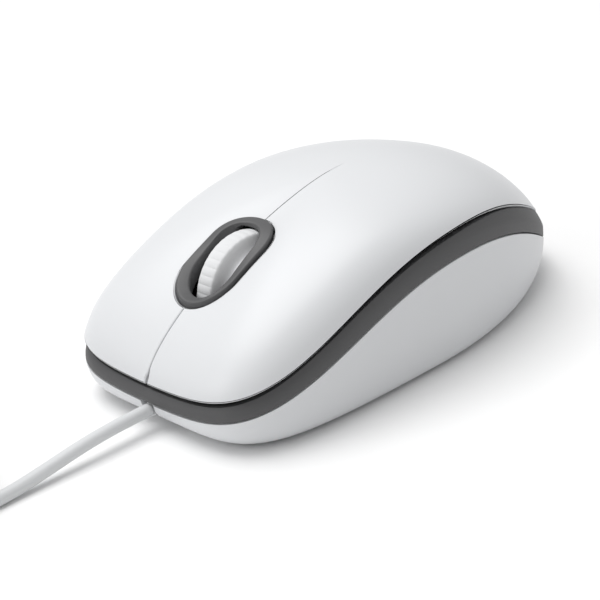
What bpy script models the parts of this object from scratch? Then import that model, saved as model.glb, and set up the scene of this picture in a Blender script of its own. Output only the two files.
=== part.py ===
"""A corded optical mouse: two-part case, flexing buttons, scroll wheel, board, cable and plug.

Metres, +Z up. The nose, where the cable leaves, faces -Y and the user's palm is at +Y. The
mouse's own left side is at +X. The origin is on the desk, under the middle of the case.
"""

import math

import bmesh
import bpy
import numpy as np
from mathutils import Vector
from mathutils.bvhtree import BVHTree

# The gap kept between solids that touch, and between a moving piece and its neighbour.
GAP = 0.0003
SLIDE_GAP = 0.0004

# Case: the outline seen from above, the crown, and the plane of the underside.
BODY_LENGTH = 0.113
BODY_WIDTH = 0.0624
WIDEST_Y = -0.0004
FRONT_SQUARENESS = 5.1
REAR_SQUARENESS = 2.03
CROWN_Y = -0.0006
CROWN_Z = 0.0379
CROWN_TILT = 0.08
BASE_Z = 0.0008
NOSE_Y = -BODY_LENGTH / 2
TAIL_Y = BODY_LENGTH / 2

# Evenly spaced stations along half the outline, from the nose round one side to the tail.
BAND_TOP = (0.0099, 0.0135, 0.0245, 0.0294, 0.0210, 0.0105)
BAND_FOOT = (0.0061, 0.0091, 0.0188, 0.0236, 0.0143, 0.0040)
BAND_RECESS = (0.0016, 0.0016, 0.0013, 0.0004, 0.0003, 0.0003)
SIDE_RISE = (0.0140, 0.0137, 0.0035, 0.0016)
SHOULDER_SHARE = (0.29, 0.52, 0.82, 0.79)
BASE_INSET = (0.0086, 0.0051, 0.0022, 0.0040, 0.0062)
WAIST_SHARE = 0.4
FLANK_DROP = 0.54
FLANK_TUCK = 0.81

TOP_WALL = 0.0016
LIP_WALL = 0.0006
LIP_HEIGHT = 0.0016
LIP_STEP = 0.0004
FLANK_WALL = 0.0020
FLOOR = 0.0018
BAND_DEPTH = 0.0027
BAND_FOOT_RECESS = 0.00015
BAND_COVE_SHARE = 0.4
BAND_HEADROOM = 0.00045
SLIT_WIDTH = 0.0005
FLEX_Y = NOSE_Y + 0.063
FLEX_DROP = 0.0008
COLUMNS = 72

# Wheel, its opening and the ring round it.
OPENING_Y = NOSE_Y + 0.0245
RING_HALF_LENGTH = 0.0116
RING_HALF_WIDTH = 0.0076
RING_BAND = 0.0022
RING_END_BAND = 0.0029
RING_RAISE = 0.0006
RING_DEPTH = 0.0040
RING_EDGE = 0.00035
RING_FIT = 0.00035
STRAP_DROP = 0.0024
STRAP_THICKNESS = 0.0012
STRAP_INNER_X = 0.0046
STRAP_WIDTH = 0.0022
STRAP_REACH = 0.0085
WHEEL_RADIUS = 0.0122
WHEEL_WIDTH = 0.0072
WHEEL_CROWN = 0.0018
WHEEL_SETBACK = 0.0050
WHEEL_DROP = 0.0080
WHEEL_CLEARANCE = 0.00045
TYRE_THICKNESS = 0.0026
HUB_RADIUS = WHEEL_RADIUS - TYRE_THICKNESS
HUB_BOSS_RADIUS = 0.0030
HUB_BOSS_TAPER = 0.0004
HUB_WEB_HALF = 0.0016
HUB_RIM = 0.0012
HUB_RIM_TAPER = 0.0008
HUB_SLOTS = 10
HUB_SLOT_ORBIT = 0.0058
HUB_SLOT_RADIUS = 0.0011
AXLE_RADIUS = 0.0015
AXLE_CLEARANCE = 0.0001
AXLE_OVERHANG = 0.0004
POST_WALL = 0.0015
POST_HALF_LENGTH = 0.0030
CARRIER_WALL = 0.0018
CARRIER_SIDE_GAP = 0.0010
CARRIER_FLOOR = 0.0024
CARRIER_BEAM = 0.0040
CARRIER_TRAVEL = 0.0006
EAR_RISE = 0.0032
EAR_HALF = 0.0028
BAR_CLEARANCE = 0.0014
BAR_THICKNESS = 0.0022

# Circuit board and what stands on it.
BOARD_Z = 0.0070
BOARD_THICKNESS = 0.0016
BOARD_SIDE_MARGIN = 0.0082
BOARD_HALF_WIDTH = BODY_WIDTH / 2 - BOARD_SIDE_MARGIN
BOARD_FRONT_Y = NOSE_Y + 0.0125
BOARD_LENGTH = 0.064
BOARD_CORNER = 0.003
BOARD_SLOT_MARGIN = 0.001
SWITCH_X = BOARD_HALF_WIDTH - 0.0040
SWITCH_Y = NOSE_Y + 0.0205
SWITCH_SIZE = (0.0058, 0.0128, 0.0065)
SWITCH_BASE_HEIGHT = 0.0029
SWITCH_PLUNGER = (0.0012, 0.0028, 0.0025)
SWITCH_PLUNGER_PROUD = 0.0007
SWITCH_TRAVEL = 0.0006
ACTUATOR_HALF = 0.0012
MIDDLE_SWITCH_SIZE = (0.0060, 0.0060, 0.0025)
MIDDLE_PLUNGER_RADIUS = 0.0015
MIDDLE_PLUNGER_HEIGHT = 0.0017
SENSOR_Y = NOSE_Y + 0.0575
SENSOR_SIZE = (0.0090, 0.0100, 0.0022)
WINDOW_SIZE = (0.0100, 0.0080)
LENS_PLATE = (0.0180, 0.0200, 0.0012)
LENS_RADIUS = 0.0026
LED_RADIUS = 0.0024
LED_LENGTH = 0.0075
LED_SETBACK = 0.0085
CLIP_SIZE = (0.0080, 0.0066, 0.0061)
BEAM_X = 0.0116
PHOTO_SIZE = (0.0026, 0.0044, 0.0057)
LEAD_WIDTH = 0.0005
CAPACITOR_RADIUS = 0.0025
CAPACITOR_HEIGHT = 0.0071
CAPACITOR_AT = (BOARD_HALF_WIDTH - 0.0070, NOSE_Y + 0.0525)
HEADER_SIZE = (0.0069, 0.0035, 0.0045)
SOCKET_SIZE = (0.0057, 0.0050, 0.0034)
HEADER_Y = NOSE_Y + 0.0466

# Fasteners, feet and label.
BOARD_SCREW_AT = (BOARD_HALF_WIDTH - 0.0050, NOSE_Y + 0.0705)
BOARD_PIN_AT = (BOARD_HALF_WIDTH - 0.0030, NOSE_Y + 0.0150)
CASE_SCREW_AT = (0.0130, TAIL_Y - 0.0255)
BOARD_SCREW_RADIUS = 0.0009
BOARD_HEAD_RADIUS = 0.0019
BOARD_HEAD_TOP_RADIUS = 0.0016
BOARD_HEAD_HEIGHT = 0.0013
BOARD_BOSS_RADIUS = 0.0024
PIN_RADIUS = 0.0009
PIN_SHOULDER_RADIUS = 0.0018
CASE_SCREW_RADIUS = 0.0010
CASE_HEAD_RADIUS = 0.0023
CASE_HEAD_HEIGHT = 0.0016
CASE_BOSS_RADIUS = 0.0036
CASE_POST_LIFT = 0.0057
CASE_BORE_DEPTH = 0.0090
CASE_SCREW_BITE = 0.0080
COUNTERBORE_DEPTH = 0.0026
CASE_POST_RADIUS = 0.0028
FOOT_THICKNESS = 0.0005
FOOT_HALF = (0.0055, 0.0024)
FRONT_FEET_AT = (0.0150, NOSE_Y + 0.0150)
REAR_FEET_AT = (0.0080, TAIL_Y - 0.0135)
LABEL_SIZE = (0.034, 0.0145)
LABEL_Y = NOSE_Y + 0.0755
LABEL_THICKNESS = 0.00015
LABEL_RECESS = 0.00045

# Cable: where it leaves, its route on the desk, and the coil that stores its length.
CABLE_DIAMETER = 0.0028
CABLE_Z = 0.0044
GROMMET_RADIUS = 0.0016
GROMMET_NOTCH = 0.0020
GROMMET_FACE_Y = NOSE_Y + 0.0008
COIL_CENTRE = (-0.021, -0.112)
COIL_MEAN_RADIUS = 0.0168
COIL_TURNS_ACROSS = 4
COIL_LIFT = 0.0007
TIE_THICKNESS = 0.0004
TIE_WIDTH = 0.0040
TIE_ANGLE = math.radians(-25)
CABLE_ROUTE = (
    (0.0, -0.0560, 0.00440),
    (0.0, -0.0600, 0.00438),
    (0.0, -0.0660, 0.00425),
    (0.0, -0.0720, 0.00385),
    (0.0, -0.0780, 0.00315),
    (0.0, -0.0840, 0.00235),
    (0.0, -0.0900, 0.00170),
    (0.0, -0.0960, 0.00150),
    (0.0, -0.1008, 0.00165),
)
TAIL_ROUTE = (
    (-0.0420, -0.1001, 0.01230),
    (-0.0412, -0.0965, 0.01290),
    (-0.0388, -0.0932, 0.01365),
    (-0.0352, -0.0915, 0.01445),
    (-0.0314, -0.0915, 0.01515),
    (-0.0282, -0.0932, 0.01565),
    (-0.0260, -0.0963, 0.01600),
    (-0.0250, -0.1000, 0.01620),
)
WIRE_RADIUS = 0.0004
WIRE_PITCH = 0.0011
WIRE_CLEARANCE = 0.0005
HEADER_X = -(BEAM_X + PHOTO_SIZE[0] / 2 + WIRE_CLEARANCE + WIRE_PITCH / 2 + WIRE_RADIUS)
WIRE_START_RISE = 0.0008
WIRE_END_RISE = 0.00155
# Each point is a share of the way across to the header, the distance from the nose, and a
# share of the climb from the strain relief to the socket.
WIRE_ROUTE = (
    (0.0, 0.0074, 0.0),
    (0.0, 0.0088, 0.076),
    (0.084, 0.0104, 0.438),
    (0.35, 0.0110, 0.80),
    (0.70, 0.0116, 0.99),
    (0.934, 0.0140, 1.01),
    (1.0, 0.0175, 1.0),
    (1.0, 0.0280, 1.0),
)
PLUG_BODY = (0.0154, 0.0190, 0.0076)
PLUG_NECK = 0.0060
PLUG_SHELL = (0.0120, 0.0120, 0.0045)
PLUG_WALL = 0.0003
PLUG_TONGUE = (0.0108, 0.0110, 0.0017)

WHITE = ("white_shell", (0.83, 0.84, 0.85), 0.42, 0.0)
GREY = ("dark_trim", (0.09, 0.09, 0.092), 0.55, 0.0)
PALE_RUBBER = ("pale_rubber", (0.72, 0.73, 0.74), 0.7, 0.0)
BLACK = ("black_plastic", (0.02, 0.02, 0.022), 0.5, 0.0)
CLEAR = ("clear_plastic", (0.85, 0.9, 0.95), 0.1, 0.0)
BOARD_GREEN = ("board_laminate", (0.04, 0.18, 0.08), 0.5, 0.0)
STEEL = ("bright_steel", (0.6, 0.6, 0.61), 0.3, 1.0)
GOLD = ("gold_contact", (0.85, 0.62, 0.25), 0.3, 1.0)
PAPER = ("label_film", (0.8, 0.8, 0.8), 0.6, 0.0)
CORD = ("pale_cord", (0.75, 0.76, 0.77), 0.55, 0.0)
RED = ("red_wire", (0.5, 0.03, 0.03), 0.5, 0.0)
GREEN = ("green_wire", (0.03, 0.35, 0.08), 0.5, 0.0)

BOARD_TOP = BOARD_Z + BOARD_THICKNESS
SEAT_Z = BOARD_TOP + GAP
FLOOR_TOP = BASE_Z + FLOOR
SIDES = (("left", 1), ("right", -1))

for old in list(bpy.data.objects):
    bpy.data.objects.remove(old)


# ---- Building helpers ----------------------------------------------------------------------
def paint(finish):
    """The Principled material of a finish, made once."""
    name, colour, roughness, metallic = finish
    made = bpy.data.materials.get(name)
    if made is None:
        made = bpy.data.materials.new(name)
        made.use_nodes = True
        shader = made.node_tree.nodes["Principled BSDF"]
        shader.inputs["Base Color"].default_value = (*colour, 1)
        shader.inputs["Roughness"].default_value = roughness
        shader.inputs["Metallic"].default_value = metallic
    return made


def piece(name, mesh, finish=None, parent=None):
    """An object of a mesh. Without a finish it is a hidden cutter or guide."""
    made = bpy.data.objects.new(name, mesh)
    bpy.context.scene.collection.objects.link(made)
    if finish is None:
        made.hide_render = True
        made.display_type = "WIRE"
    else:
        mesh.materials.append(paint(finish))
    if parent is not None:
        mesh.transform(parent.matrix_world.inverted())
        made.parent = parent
    return made


def axis_empty(name, place):
    """An empty on a joint's axis, which the moving pieces are parented to."""
    made = bpy.data.objects.new(name, None)
    made.location = place
    bpy.context.scene.collection.objects.link(made)
    bpy.context.view_layer.update()
    return made


def mesh_of(name, points, faces):
    """A mesh whose faces all point outwards."""
    made = bpy.data.meshes.new(name)
    made.from_pydata([tuple(p) for p in points], [], faces)
    work = bmesh.new()
    work.from_mesh(made)
    bmesh.ops.recalc_face_normals(work, faces=work.faces)
    work.to_mesh(made)
    work.free()
    return made


def ring_mesh(name, rings, loop=False, first=None, last=None):
    """Rings of points joined side by side. A loop joins the last ring to the first. Otherwise
    each end is closed by a flat face, or by a fan to the point that is given. A ring may have
    a whole multiple of its neighbour's points."""
    rings = [[tuple(p) for p in r] for r in rings]
    points = [p for r in rings for p in r]
    starts = [sum(len(r) for r in rings[:k]) for k in range(len(rings))]
    faces = []
    for k in range(len(rings) if loop else len(rings) - 1):
        pair = sorted(((len(rings[j]), starts[j]) for j in (k, (k + 1) % len(rings))), reverse=True)
        (many, here), (few, there) = pair
        share = many // few
        for i in range(few):
            long_side = [here + (i * share + j) % many for j in range(share + 1)]
            faces.append((*long_side, there + (i + 1) % few, there + i))
    if not loop:
        for tip, start, ring in ((first, 0, rings[0]), (last, starts[-1], rings[-1])):
            if tip is None:
                faces.append(tuple(range(start, start + len(ring))))
                continue
            points.append(tuple(tip))
            for i in range(len(ring)):
                faces.append((start + i, start + (i + 1) % len(ring), len(points) - 1))
    return mesh_of(name, points, faces)


def block(name, low, high):
    """A box between two corners."""
    (x0, y0, z0), (x1, y1, z1) = low, high
    foot = ((x0, y0), (x1, y0), (x1, y1), (x0, y1))
    return ring_mesh(name, [[(x, y, z) for x, y in foot] for z in (z0, z1)])


def centred(name, centre, z, size):
    """A box of a size, standing at height z over a centre."""
    (cx, cy), (sx, sy, sz) = centre, size
    return block(name, (cx - sx / 2, cy - sy / 2, z), (cx + sx / 2, cy + sy / 2, z + sz))


def turned(name, profile, centre, axis="z", sides=16):
    """A solid of revolution. The profile is (radius, distance along the axis) pairs."""
    rings = []
    for radius, along in profile:
        ring = []
        for k in range(sides):
            turn = 2 * math.pi * (k + 0.5) / sides
            a, b = radius * math.cos(turn), radius * math.sin(turn)
            local = {"x": (along, a, b), "y": (b, along, a), "z": (a, b, along)}[axis]
            ring.append([c + d for c, d in zip(centre, local)])
        rings.append(ring)
    return ring_mesh(name, rings)


def rod(name, radius, low, high, centre, axis="z", sides=16):
    return turned(name, ((radius, low), (radius, high)), centre, axis, sides)


def merged(name, *meshes):
    """Several closed bodies as one mesh."""
    work = bmesh.new()
    for mesh in meshes:
        work.from_mesh(mesh)
    made = bpy.data.meshes.new(name)
    work.to_mesh(made)
    work.free()
    return made


def combine(target, operation, *meshes):
    """A Boolean modifier on target, with the meshes as its hidden cutter."""
    name = f"{target.name}_{operation.lower()}_{len(target.modifiers)}"
    cutter = piece(name, merged(name, *meshes))
    step = target.modifiers.new(name, "BOOLEAN")
    step.operation = operation
    step.object = cutter
    step.solver = "EXACT"
    if target.parent is not None:
        cutter.data.transform(target.parent.matrix_world.inverted())
        cutter.parent = target.parent
    return target


def smooth_route(route, spacing):
    """Points a spacing apart on the Catmull-Rom curve through a route's points."""
    fixed = [Vector(p) for p in route]
    ends = [2 * fixed[0] - fixed[1], *fixed, 2 * fixed[-1] - fixed[-2]]
    found = []
    for k in range(len(fixed) - 1):
        a, b, c, d = ends[k : k + 4]
        steps = max(1, round((c - b).length / spacing))
        for i in range(steps):
            t = i / steps
            tangents = (c - a) * t + (2 * a - 5 * b + 4 * c - d) * t**2
            found.append(b + 0.5 * (tangents + (3 * b - a - 3 * c + d) * t**3))
    return [*found, fixed[-1]]


def tube(name, route, radius, finish, spacing):
    """A round cord along a route, as a bevelled curve with filled ends."""
    line = bpy.data.curves.new(name, "CURVE")
    line.dimensions = "3D"
    line.bevel_depth = radius
    line.bevel_resolution = 2
    line.use_fill_caps = True
    line.resolution_u = 1
    line.render_resolution_u = 0
    points = smooth_route(route, spacing)
    spline = line.splines.new("POLY")
    spline.points.add(len(points) - 1)
    for place, p in zip(spline.points, points):
        place.co = (*p, 1)
    made = bpy.data.objects.new(name, line)
    bpy.context.scene.collection.objects.link(made)
    line.materials.append(paint(finish))
    return made


def stadium(half_length, half_width, count, centre=(0.0, 0.0)):
    """A slot outline with round ends, longer along Y, as (x, y) points."""
    straight = half_length - half_width
    found = []
    for k in range(count):
        turn = 2 * math.pi * (k + 0.5) / count
        x, y = half_width * math.cos(turn), half_width * math.sin(turn)
        found.append((centre[0] + x, centre[1] + y + math.copysign(straight, y)))
    return found


# ---- The case's skin -----------------------------------------------------------------------
def along(share, stations):
    """A smooth even curve through stations spaced evenly from the nose (0) to the tail (1)."""
    waves = np.arange(len(stations))
    places = np.linspace(0, 1, len(stations))
    weights = np.linalg.solve(np.cos(math.pi * np.outer(places, waves)), stations)
    return np.cos(math.pi * np.outer(np.abs(share), waves)) @ weights


def outline(share):
    """(x, y) of the case's outline, by the share of the way from nose to tail. It is half a
    superellipse at the nose and another at the tail. A negative share is the right side."""
    turn = np.linspace(0, math.pi, 1600)
    power = 2 / np.where(np.cos(turn) > 0, FRONT_SQUARENESS, REAR_SQUARENESS)
    reach = np.abs(np.cos(turn)) ** power
    x = BODY_WIDTH / 2 * np.abs(np.sin(turn)) ** power
    ahead, behind = WIDEST_Y - NOSE_Y, TAIL_Y - WIDEST_Y
    y = WIDEST_Y + np.where(np.cos(turn) > 0, -ahead * reach, behind * reach)
    walked = np.r_[0, np.cumsum(np.hypot(np.diff(x), np.diff(y)))]
    place = np.abs(share) * walked[-1]
    return np.interp(place, walked, x) * np.sign(share), np.interp(place, walked, y)


def skin(share, rise):
    """The case's outer surface. Rise runs from -1 at the underside's edge, through 0 at the
    waist, to 1 at the crown, on one Bezier curve below the waist and one above it."""
    share = np.asarray(share, float)
    rise = np.broadcast_to(np.asarray(rise, float), share.shape)
    x, y = outline(share)
    foot, top = along(share, BAND_FOOT), along(share, BAND_TOP)
    waist = foot + WAIST_SHARE * (top - foot)
    up, down = np.clip(rise, 0, 1), np.clip(-rise, 0, 1)

    def weights(t):
        return (1 - t) ** 3, 3 * (1 - t) ** 2 * t, 3 * (1 - t) * t**2, t**3

    b0, b1, b2, b3 = weights(up)
    shoulder = along(share, SHOULDER_SHARE)
    shoulder_y = CROWN_Y + shoulder * (y - CROWN_Y)
    upper_x = x * (b0 + b1 + shoulder * b2)
    upper_y = y * (b0 + b1) + shoulder_y * b2 + CROWN_Y * b3
    upper_z = waist * b0 + (waist + along(share, SIDE_RISE)) * b1 + CROWN_Z * b3
    upper_z = upper_z + (CROWN_Z + CROWN_TILT * (shoulder_y - CROWN_Y)) * b2

    b0, b1, b2, b3 = weights(down)
    inset = along(share, BASE_INSET) / np.hypot(x, y - WIDEST_Y)
    near, far = 1 - inset * (1 - FLANK_TUCK), 1 - inset
    pull = b0 + b1 + near * b2 + far * b3
    lower_x = x * pull
    lower_y = WIDEST_Y + (y - WIDEST_Y) * pull
    lower_z = waist * b0 + (waist - FLANK_DROP * (waist - BASE_Z)) * b1 + BASE_Z * (b2 + b3)

    above = rise >= 0
    pairs = ((upper_x, lower_x), (upper_y, lower_y), (upper_z, lower_z))
    return np.stack([np.where(above, u, d) for u, d in pairs], -1)


def rise_at(share, height):
    """The rise at which the skin reaches a height, for each share."""
    samples = np.linspace(-1, 0.8, 181)
    found = []
    for s, h in zip(share, height):
        found.append(np.interp(h, skin(np.full(len(samples), s), samples)[:, 2], samples))
    return np.array(found)


def outward(share, rise):
    """The skin's outward unit normal."""
    step = 0.001
    across = skin(share + step, rise) - skin(share - step, rise)
    upward = skin(share, np.minimum(rise + step, 1)) - skin(share, rise - step)
    normal = np.cross(across, upward)
    normal /= np.linalg.norm(normal, axis=1)[:, None]
    return normal * np.where((normal * (skin(share, rise) - (0, CROWN_Y, 0))).sum(1) < 0, -1, 1)[:, None]


def inwards(share, height, depth):
    """Points on the skin at a height, moved level towards the middle by a depth."""
    rise = rise_at(share, height)
    level = outward(share, rise) * (1, 1, 0)
    level /= np.linalg.norm(level, axis=1)[:, None]
    found = skin(share, rise) - level * np.broadcast_to(depth, share.shape)[:, None]
    found[:, 2] = height
    return found


SHARES = -1 + 2 * (np.arange(COLUMNS) + 0.5) / COLUMNS
BAND_TOP_Z = along(SHARES, BAND_TOP)
BAND_FOOT_Z = along(SHARES, BAND_FOOT)


def roof_tree():
    """The upper skin as a search tree, for heights under the roof."""
    rises = np.linspace(0, 1, 33)[:-1]
    rings = [skin(SHARES, np.full(COLUMNS, r)) for r in rises]
    crown = skin(np.array([0.0]), np.array([1.0]))[0]
    mesh = ring_mesh("roof", rings, last=crown)
    work = bmesh.new()
    work.from_mesh(mesh)
    found = BVHTree.FromBMesh(work)
    work.free()
    return found


ROOF = roof_tree()


def roof(x, y):
    """The height of the skin above a point of the desk."""
    return ROOF.ray_cast(Vector((x, y, 1.0)), Vector((0, 0, -1)))[0].z


def hung_column(name, foot, bottom):
    """A column from a height up into the roof's wall, over an outline of (x, y) points."""
    top = [(x, y, roof(x, y) - TOP_WALL / 2) for x, y in foot]
    return ring_mesh(name, [[(x, y, bottom) for x, y in foot], top])


def circle(centre, radius, sides=12):
    turns = [2 * math.pi * (k + 0.5) / sides for k in range(sides)]
    return [(centre[0] + radius * math.cos(t), centre[1] + radius * math.sin(t)) for t in turns]


WHEEL_Y = OPENING_Y + WHEEL_SETBACK
WHEEL_Z = roof(0, OPENING_Y) - WHEEL_DROP


# ---- Top cover: palm cover and two buttons, one moulding that flexes along FLEX_Y -----------
def cover_mesh(name):
    """The whole top cover: skin outside, a thin lip at its rim, the full wall above it."""
    rim_z = BAND_TOP_Z + BAND_HEADROOM / 2
    lip = rise_at(SHARES, rim_z + LIP_HEIGHT)
    step = rise_at(SHARES, rim_z + LIP_HEIGHT + LIP_STEP)
    rises = [rise_at(SHARES, rim_z), lip, step]
    rises += [step + (0.97 - step) * t for t in (0.18, 0.36, 0.54, 0.7, 0.85, 1.0)]
    walls = [LIP_WALL, LIP_WALL] + [TOP_WALL] * (len(rises) - 2)
    outer = [skin(SHARES, r) for r in rises]
    inner = [p - outward(SHARES, r) * w for p, r, w in zip(outer, rises, walls)]
    for rings in (outer, inner):
        rings[-2:] = [rings[-2][1::3], rings[-1][4::9]]
    crown = skin(np.array([0.0]), np.array([1.0]))[0]
    under = crown - (0, 0, TOP_WALL)
    return ring_mesh(name, outer[::-1] + inner, first=crown, last=under)


FAR = 0.08
OPENING = stadium(RING_HALF_LENGTH + RING_FIT, RING_HALF_WIDTH + RING_FIT, 32, (0, OPENING_Y))
FLEX_Z = roof(0, FLEX_Y) - FLEX_DROP

palm_cover = piece("palm_cover", cover_mesh("palm_cover"), WHITE)
combine(palm_cover, "INTERSECT", block("keep", (-FAR, FLEX_Y + GAP / 2, 0), (FAR, FAR, FAR)))
CASE_POST_FOOT = BASE_Z + CASE_POST_LIFT
posts, bores = [], []
for _, side in SIDES:
    spot = (side * CASE_SCREW_AT[0], CASE_SCREW_AT[1])
    posts.append(hung_column("post", circle(spot, CASE_POST_RADIUS), CASE_POST_FOOT))
    bores.append(rod("bore", CASE_SCREW_RADIUS + GAP, 0, CASE_POST_FOOT + CASE_BORE_DEPTH, (*spot, 0)))
combine(palm_cover, "UNION", *posts)
combine(palm_cover, "DIFFERENCE", *bores)

SWITCH_TOP = SEAT_Z + SWITCH_SIZE[2] + SWITCH_PLUNGER_PROUD
for hand, side in SIDES:
    hinge = axis_empty(f"{hand}_button_axis", (0, FLEX_Y, FLEX_Z))
    button = piece(f"{hand}_button", cover_mesh(f"{hand}_button"), WHITE, hinge)
    reach = sorted((side * SLIT_WIDTH / 2, side * FAR))
    keep = block("keep", (reach[0], -FAR, 0), (reach[1], FLEX_Y - GAP / 2, FAR))
    combine(button, "INTERSECT", keep)
    hole = ring_mesh("hole", [[(x, y, z) for x, y in OPENING] for z in (0, FAR)])
    combine(button, "DIFFERENCE", hole)
    x, y, half = side * SWITCH_X, SWITCH_Y, ACTUATOR_HALF
    foot = ((x - half, y - half), (x + half, y - half), (x + half, y + half), (x - half, y + half))
    combine(button, "UNION", hung_column("actuator", foot, SWITCH_TOP + GAP))


# ---- Trim band ------------------------------------------------------------------------------
def band_mesh():
    """The dark band: coved under the cover's lip, flush with the flank at its foot."""
    top = BAND_TOP_Z - BAND_HEADROOM / 2
    foot = BAND_FOOT_Z + GAP / 2
    cove = top - BAND_COVE_SHARE * (top - foot)
    recess = along(SHARES, BAND_RECESS)
    section = ((top, recess), (cove, recess), (foot, BAND_FOOT_RECESS))
    rings = [inwards(SHARES, z, depth) for z, depth in section]
    rings += [inwards(SHARES, z, BAND_DEPTH) for z in (foot, top)]
    return ring_mesh("trim_band", rings, loop=True)


piece("trim_band", band_mesh(), GREY)


# ---- Bottom shell: flanks, underside, and every post and hole moulded in it -----------------
def tub_mesh():
    """The tub below the band, its flanks following the skin down to the flat underside."""
    rim = BAND_FOOT_Z - GAP / 2
    outer = []
    for share in (0.0, 0.25, 0.5, 0.72, 0.88, 1.0):
        at_rim = rise_at(SHARES, rim)
        outer.append(skin(SHARES, at_rim + (-1 - at_rim) * share))
    inner = [
        inwards(SHARES, rim + (FLOOR_TOP - rim) * share, FLANK_WALL) for share in (0, 0.35, 0.7, 1)
    ]
    return ring_mesh("bottom_shell", outer[::-1] + inner)


bottom_shell = piece("bottom_shell", tub_mesh(), WHITE)
ROOT_Z = BASE_Z + FLOOR / 2
POST_INNER_X = WHEEL_WIDTH / 2 + CARRIER_SIDE_GAP + CARRIER_WALL + SLIDE_GAP
POST_TOP = WHEEL_Z + AXLE_RADIUS + 0.001
CRADLE_Z = WHEEL_Z - AXLE_RADIUS - CARRIER_TRAVEL - GAP
BOARD_SEAT = BOARD_Z - GAP
COUNTERBORE_Z = BASE_Z + COUNTERBORE_DEPTH
added, removed = [], []
for _, side in SIDES:
    board_spot = (side * BOARD_SCREW_AT[0], BOARD_SCREW_AT[1])
    pin_spot = (side * BOARD_PIN_AT[0], BOARD_PIN_AT[1])
    case_spot = (side * CASE_SCREW_AT[0], CASE_SCREW_AT[1])
    added.append(rod("boss", BOARD_BOSS_RADIUS, ROOT_Z, BOARD_SEAT, (*board_spot, 0), sides=12))
    removed.append(rod("pilot", BOARD_SCREW_RADIUS + GAP, FLOOR_TOP, FAR, (*board_spot, 0)))
    steps = ((PIN_SHOULDER_RADIUS, ROOT_Z), (PIN_SHOULDER_RADIUS, BOARD_SEAT))
    steps += ((PIN_RADIUS, BOARD_SEAT), (PIN_RADIUS, BOARD_TOP))
    added.append(turned("pin", steps, (*pin_spot, 0), sides=10))
    added.append(rod("boss", CASE_BOSS_RADIUS, ROOT_Z, CASE_POST_FOOT - GAP, (*case_spot, 0)))
    steps = ((CASE_HEAD_RADIUS + GAP, -0.001), (CASE_HEAD_RADIUS + GAP, COUNTERBORE_Z))
    steps += ((CASE_SCREW_RADIUS + GAP, COUNTERBORE_Z), (CASE_SCREW_RADIUS + GAP, FAR))
    removed.append(turned("bore", steps, (*case_spot, 0)))
    edge = sorted((side * POST_INNER_X, side * (POST_INNER_X + POST_WALL)))
    low = (edge[0], WHEEL_Y - POST_HALF_LENGTH, ROOT_Z)
    added.append(block("post", low, (edge[1], WHEEL_Y + POST_HALF_LENGTH, POST_TOP)))
half = AXLE_RADIUS + AXLE_CLEARANCE + GAP / 4
removed.append(block("cradle", (-FAR, WHEEL_Y - half, CRADLE_Z), (FAR, WHEEL_Y + half, FAR)))
wide, deep = WINDOW_SIZE
removed.append(centred("window", (0, SENSOR_Y), -0.001, (wide, deep, 0.01)))
label_room = (LABEL_SIZE[0] + 2 * GAP, LABEL_SIZE[1] + 2 * GAP, 0.001 + BASE_Z + LABEL_RECESS)
removed.append(centred("recess", (0, LABEL_Y), -0.001, label_room))
arch = [(GROMMET_NOTCH, FAR), (-GROMMET_NOTCH, FAR)]
for k in range(9):
    turn = math.pi * (1 + k / 8)
    arch.append((GROMMET_NOTCH * math.cos(turn), CABLE_Z + GROMMET_NOTCH * math.sin(turn)))
notch = [[(x, y, z) for x, z in arch] for y in (NOSE_Y - 0.002, NOSE_Y + 0.0055)]
combine(bottom_shell, "UNION", *added)
combine(bottom_shell, "DIFFERENCE", *removed)
combine(bottom_shell, "DIFFERENCE", ring_mesh("notch", notch))


# ---- Wheel ring -----------------------------------------------------------------------------
def ring_row(inset, lift):
    """The ring's outline moved in by an inset share of its band, at a lift over the roof."""
    half_length = RING_HALF_LENGTH - inset * RING_END_BAND
    half_width = RING_HALF_WIDTH - inset * RING_BAND
    spots = stadium(half_length, half_width, 32, (0, OPENING_Y))
    outer = stadium(RING_HALF_LENGTH, RING_HALF_WIDTH, 32, (0, OPENING_Y))
    return [(x, y, roof(*seat) + lift) for (x, y), seat in zip(spots, outer)]


def strap(name, x0, x1, y0, y1):
    """A flat strap hung a little under the roof."""
    middle = math.copysign(STRAP_INNER_X + STRAP_WIDTH / 2, x0 + x1)
    rings = []
    for y in np.linspace(y0, y1, max(2, round((y1 - y0) / 0.006))):
        top = roof(middle, y) - STRAP_DROP
        low = top - STRAP_THICKNESS
        rings.append([(x0, y, low), (x1, y, low), (x1, y, top), (x0, y, top)])
    return ring_mesh(name, rings)


edge_share = RING_EDGE / RING_BAND
rows = ((0, -RING_DEPTH), (0, RING_RAISE - RING_EDGE), (edge_share, RING_RAISE))
rows += ((1 - edge_share, RING_RAISE), (1, RING_RAISE - RING_EDGE), (1, -RING_DEPTH))
bezel = piece("wheel_bezel", ring_mesh("wheel_bezel", [ring_row(*r) for r in rows], loop=True), GREY)
straps = []
rear_y = FLEX_Y + STRAP_REACH
for _, side in SIDES:
    edge = sorted((side * STRAP_INNER_X, side * (STRAP_INNER_X + STRAP_WIDTH)))
    straps.append(strap("strap", *edge, WHEEL_Y + 0.001, rear_y))
for mesh in straps:
    combine(bezel, "UNION", mesh)
bridge = strap("bridge", -STRAP_INNER_X - 0.001, STRAP_INNER_X + 0.001, rear_y - 0.006, rear_y - 0.0005)
combine(bezel, "UNION", bridge)
sweep = WHEEL_RADIUS + WHEEL_CLEARANCE
wheel_room = rod("room", sweep, -WHEEL_WIDTH / 2 - 0.0005, WHEEL_WIDTH / 2 + 0.0005,
                 (0, WHEEL_Y, WHEEL_Z), "x", 48)
combine(bezel, "DIFFERENCE", wheel_room)

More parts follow.
